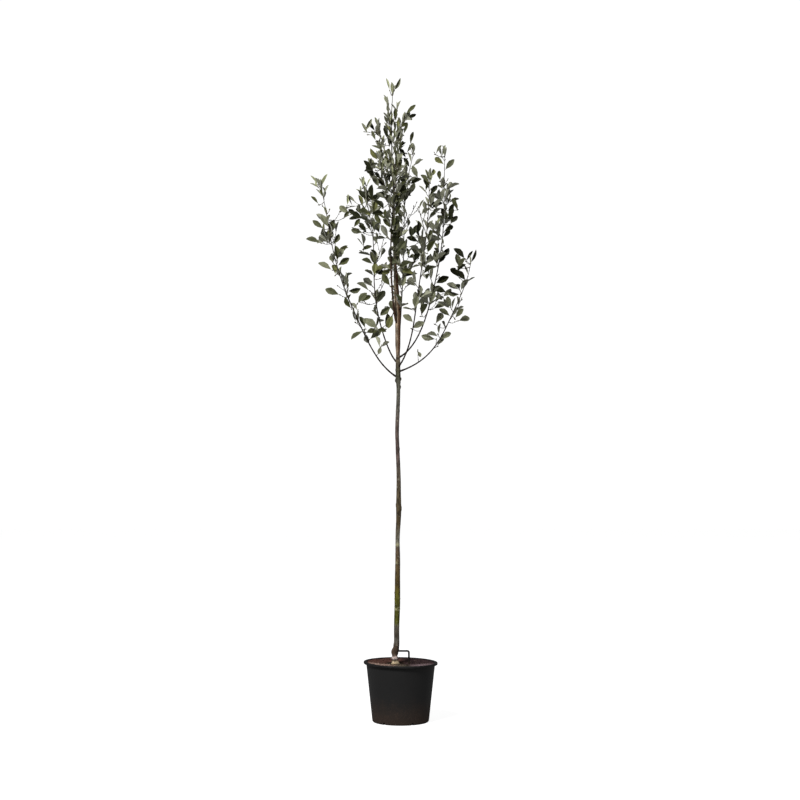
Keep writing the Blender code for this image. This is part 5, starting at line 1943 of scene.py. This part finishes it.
def build_leaves(name, masses, materials, slot_nodes):
    """All leaves of some masses as one piece, each spray in its own tint."""
    shapes, youngs = leaf_shapes(), young_shapes()
    joined = Joined()
    uppers = len(UPPER_TINTS)
    under_first = uppers + 1
    stalk = under_first + len(UNDER_TINTS)
    for mass in masses:
        draw = random.Random(f"{mass.name} tints")
        tints = {}
        for leaf in mass.leaves:
            if leaf.spray not in tints:
                tints[leaf.spray] = pick_tint(draw, leaf.root.z, mass.name)
            young = leaf.young and draw.random() < YOUNG_SHARE
            top = uppers if young else tints[leaf.spray]
            if draw.random() < OWN_TINT:
                top = pick_tint(draw, leaf.root.z, mass.name)
            if leaf.pale:
                top = list(UPPER_TINTS).index("leaf_pale")
            under = under_first + draw.randrange(len(UNDER_TINTS))
            shape = draw.choice(youngs if leaf.young else shapes)
            high_up = eased(leaf.root.z, *HIGH_UP)
            lift = 0.0 if leaf.aimed else LIFT_LOW + LIFT_GAIN * high_up
            along = (leaf.along + UP * lift).normalized()
            face = squared(leaf.face, along)
            size = TRUE_SIZE * (SIZE_LOW - SIZE_LOSS * high_up)
            length = leaf.length * size
            thinned = THIN_FROM < leaf.root.z < THIN_TO and draw.random() < THINNED
            middle = leaf.root + along * (BLADE_MIDDLE * length)
            if not leaf.aimed and (thinned or in_opening(middle)):
                continue
            width = leaf.width * size * (WIDE_LOW - WIDE_LOSS * high_up)
            width *= YOUNG_SLIM if leaf.young else 1.0
            basis = np.array([face.cross(along) * -width, along * length, face * width])
            points, faces, kinds, maps = shape
            placed = points @ basis + np.array(leaf.root)
            kind_of = {UPPER: top, UNDER: under, STEM: stalk}
            joined.add(placed, faces, [kind_of[kind] for kind in kinds], maps)
    settle(joined.build(name, materials, 50), name, None, "foliage", *slot_nodes)
    return joined.count


END_BUD, SIDE_BUD = 0.0085, 0.0055      # their lengths
BUD_OUT = 0.0008                # from the middle of the twig to a side bud's root


def bud_shape():
    """A pointed bud a unit long: five rings of five."""
    profile = ((0.0, 0.14), (0.18, 0.27), (0.42, 0.30), (0.72, 0.18))
    points = []
    for y, radius in profile:
        for side in range(5):
            angle = 2 * math.pi * side / 5
            points.append((radius * math.cos(angle), y, radius * math.sin(angle)))
    points.append((0, 1.0, 0))
    faces = [tuple(range(5)), *bands(0, len(profile), 5)]
    last = 5 * (len(profile) - 1)
    faces += [(last + (side + 1) % 5, last + side, len(points) - 1) for side in range(5)]
    return np.array(points), faces


def build_twigs(name, masses, material, slot_nodes):
    """Twigs, spurs and slender shoots of some masses as one piece."""
    joined = Joined()
    for mass in masses:
        if not mass.name.startswith("foliage"):
            joined.add_tube(Twig(mass.stem, mass.radii), 6)
        for twig in mass.twigs:
            joined.add_tube(twig, 5)
    settle(joined.build(name, [material], 60), name, None, "foliage", *slot_nodes)


def smoothed(points, radii, parts=3):
    """The same line with points put in between on a smooth curve, slightly knobbly."""
    dense = []
    widths = []
    for k in range(len(points) - 1):
        before = points[max(k - 1, 0)]
        after = points[min(k + 2, len(points) - 1)]
        a, b = points[k], points[k + 1]
        for part in range(parts):
            t = part / parts
            rise, fall = (b - before) * 0.5, (after - a) * 0.5
            dense.append(a * (2 * t ** 3 - 3 * t ** 2 + 1) + rise * (t ** 3 - 2 * t ** 2 + t)
                         + b * (3 * t ** 2 - 2 * t ** 3) + fall * (t ** 3 - t ** 2))
            knob = 1.12 if part == 0 else 0.95
            widths.append(between(radii[k], radii[k + 1], t) * knob)
    dense.append(points[-1])
    widths.append(radii[-1])
    return dense, widths


def build_buds(masses, material):
    """Buds in the axils and at the ends of twigs and spurs."""
    joined = Joined()
    shape, faces = bud_shape()
    draw = random.Random("buds")
    for mass in masses:
        for twig in mass.twigs + [Twig(mass.stem, mass.radii)]:
            tip, before = twig.points[-1], twig.points[-2]
            ends = [(tip, (tip - before).normalized(), END_BUD)]
            for a, b in zip(twig.points, twig.points[1:]):
                ahead = (b - a).normalized()
                out = Matrix.Rotation(draw.uniform(0, 6.28), 3, ahead) @ ahead.orthogonal()
                ends.append((a.lerp(b, 0.5) + out.normalized() * BUD_OUT,
                             (ahead + out.normalized() * 0.6).normalized(), SIDE_BUD))
            for root, ahead, long in ends:
                long *= draw.uniform(0.8, 1.2)
                across = ahead.orthogonal().normalized()
                basis = np.array([across * long, ahead * long, across.cross(ahead) * long])
                joined.add(shape @ basis + np.array(root - ahead * long * 0.1), faces)
    settle(joined.build("buds", [material], 60), "buds", None, "foliage")


# ==== Stage ====

def build_stage():
    """A pale level floor."""
    bpy.ops.mesh.primitive_plane_add(size=1, location=(0, 0, 0))
    floor = bpy.context.object
    bpy.ops.object.mode_set(mode="EDIT")
    bpy.ops.mesh.select_all(action="SELECT")
    bpy.ops.transform.resize(value=FLOOR_SIZE)
    bpy.ops.object.mode_set(mode="OBJECT")
    floor.name = "floor"
    floor.data.materials.append(floor_card())


def add_area(name, place, aim, size, power):
    bpy.ops.object.light_add(type="AREA", location=place)
    light = bpy.context.object
    light.name = name
    light.data.size = size
    light.data.energy = power
    light.rotation_euler = (Vector(aim) - Vector(place)).to_track_quat("-Z", "Y").to_euler()


def build_lights():
    world = bpy.data.worlds.new("studio")
    world.use_nodes = True
    g = Graph(world.node_tree)
    seen = g.add("ShaderNodeLightPath").outputs["Is Camera Ray"]
    sky = world.node_tree.nodes["Background"].inputs
    g.feed(sky["Color"], (1.0, 1.0, 1.0))
    g.feed(sky["Strength"], g.fit(seen, 0.0, 1.0, AMBIENT, BACKDROP))
    bpy.context.scene.world = world
    for light in LIGHTS:
        add_area(*light)
    bpy.context.scene.view_settings.view_transform = "Standard"
    bpy.context.scene.view_settings.look = "None"


def build_camera():
    bpy.ops.object.camera_add(location=EYE, rotation=(math.pi / 2, 0, 0))
    camera = bpy.context.object
    camera.name = "camera"
    camera.data.sensor_width = SENSOR
    camera.data.lens = FOCAL_PIXELS * SENSOR / PICTURE
    camera.data.clip_end = 100
    bpy.context.scene.camera = camera


# ==== Assembly ====

def crown_groups(masses):
    """Masses by the limb that carries them, with the names of the solids they stand for."""
    groups = {name: [m for m in masses if m.name == f"foliage_{name}"] for name in BOUGHS}
    groups["leader"] = [m for m in masses if m.name.startswith("leader")]
    return groups


def build_crown():
    masses = grow_crown()
    tint_list = [leaf_blade(name, *colours) for name, colours in UPPER_TINTS.items()]
    tint_list.append(leaf_blade(*YOUNG_TINT, roughness=0.6, sheen=0.15))
    for name, colours in UNDER_TINTS.items():
        tint_list.append(leaf_blade(name, *colours, roughness=0.8, sheen=0.35, depth=0.6))
    tint_list.append(leaf_blade("leaf_stalk", STALK_TINT, STALK_TINT))
    twig_bark = limb_bark("twig_bark", (0.018, 0.013, 0.009), (0.046, 0.037, 0.028),
                          (0.070, 0.064, 0.043))
    total = 0
    for name, group in crown_groups(masses).items():
        nodes = [m.name for m in group]
        build_twigs(f"twigs_{name}", group, twig_bark, nodes)
        total += build_leaves(f"leaves_{name}", group, tint_list, nodes)
    build_buds(masses, limb_bark("bud_scales", (0.060, 0.052, 0.028), (0.120, 0.115, 0.060),
                                 (0.110, 0.105, 0.060)))
    print("leaves", total, "twigs", sum(len(m.twigs) for m in masses))


def main():
    bpy.ops.object.select_all(action="DESELECT")
    make_dust_and_shade_group()
    make_zone_and_shade_group()
    make_bark_group()
    make_vein_group()
    build_camera()
    build_lights()
    build_stage()
    build_pot(pot_plastic())
    build_compost(compost_soil())
    chips = [bark_chip("chip_dark", (0.016, 0.009, 0.008), (0.050, 0.032, 0.027)),
             bark_chip("chip_brown", (0.050, 0.030, 0.022), (0.115, 0.075, 0.055)),
             bark_chip("chip_tan", (0.130, 0.092, 0.068), (0.230, 0.175, 0.135))]
    scatter("bark_chips", CHIPS, (0.004, 0.012), "chips", chips, "compost")
    scatter("compost_crumbs", GRAINS, (0.0015, 0.004), "crumbs", chips, "compost")
    build_peg(peg_plastic())
    build_trunk(trunk_bark())
    dark_bark = limb_bark("bough_bark", (0.011, 0.008, 0.006), (0.034, 0.026, 0.020),
                          (0.060, 0.052, 0.038))
    red_bark = limb_bark("bough_bark_reddish", (0.020, 0.010, 0.005), (0.060, 0.034, 0.020),
                         (0.060, 0.052, 0.038))
    for name, limb in BOUGHS.items():
        build_bough(name, limb, red_bark if name == "front" else dark_bark)
    build_crown()


main()
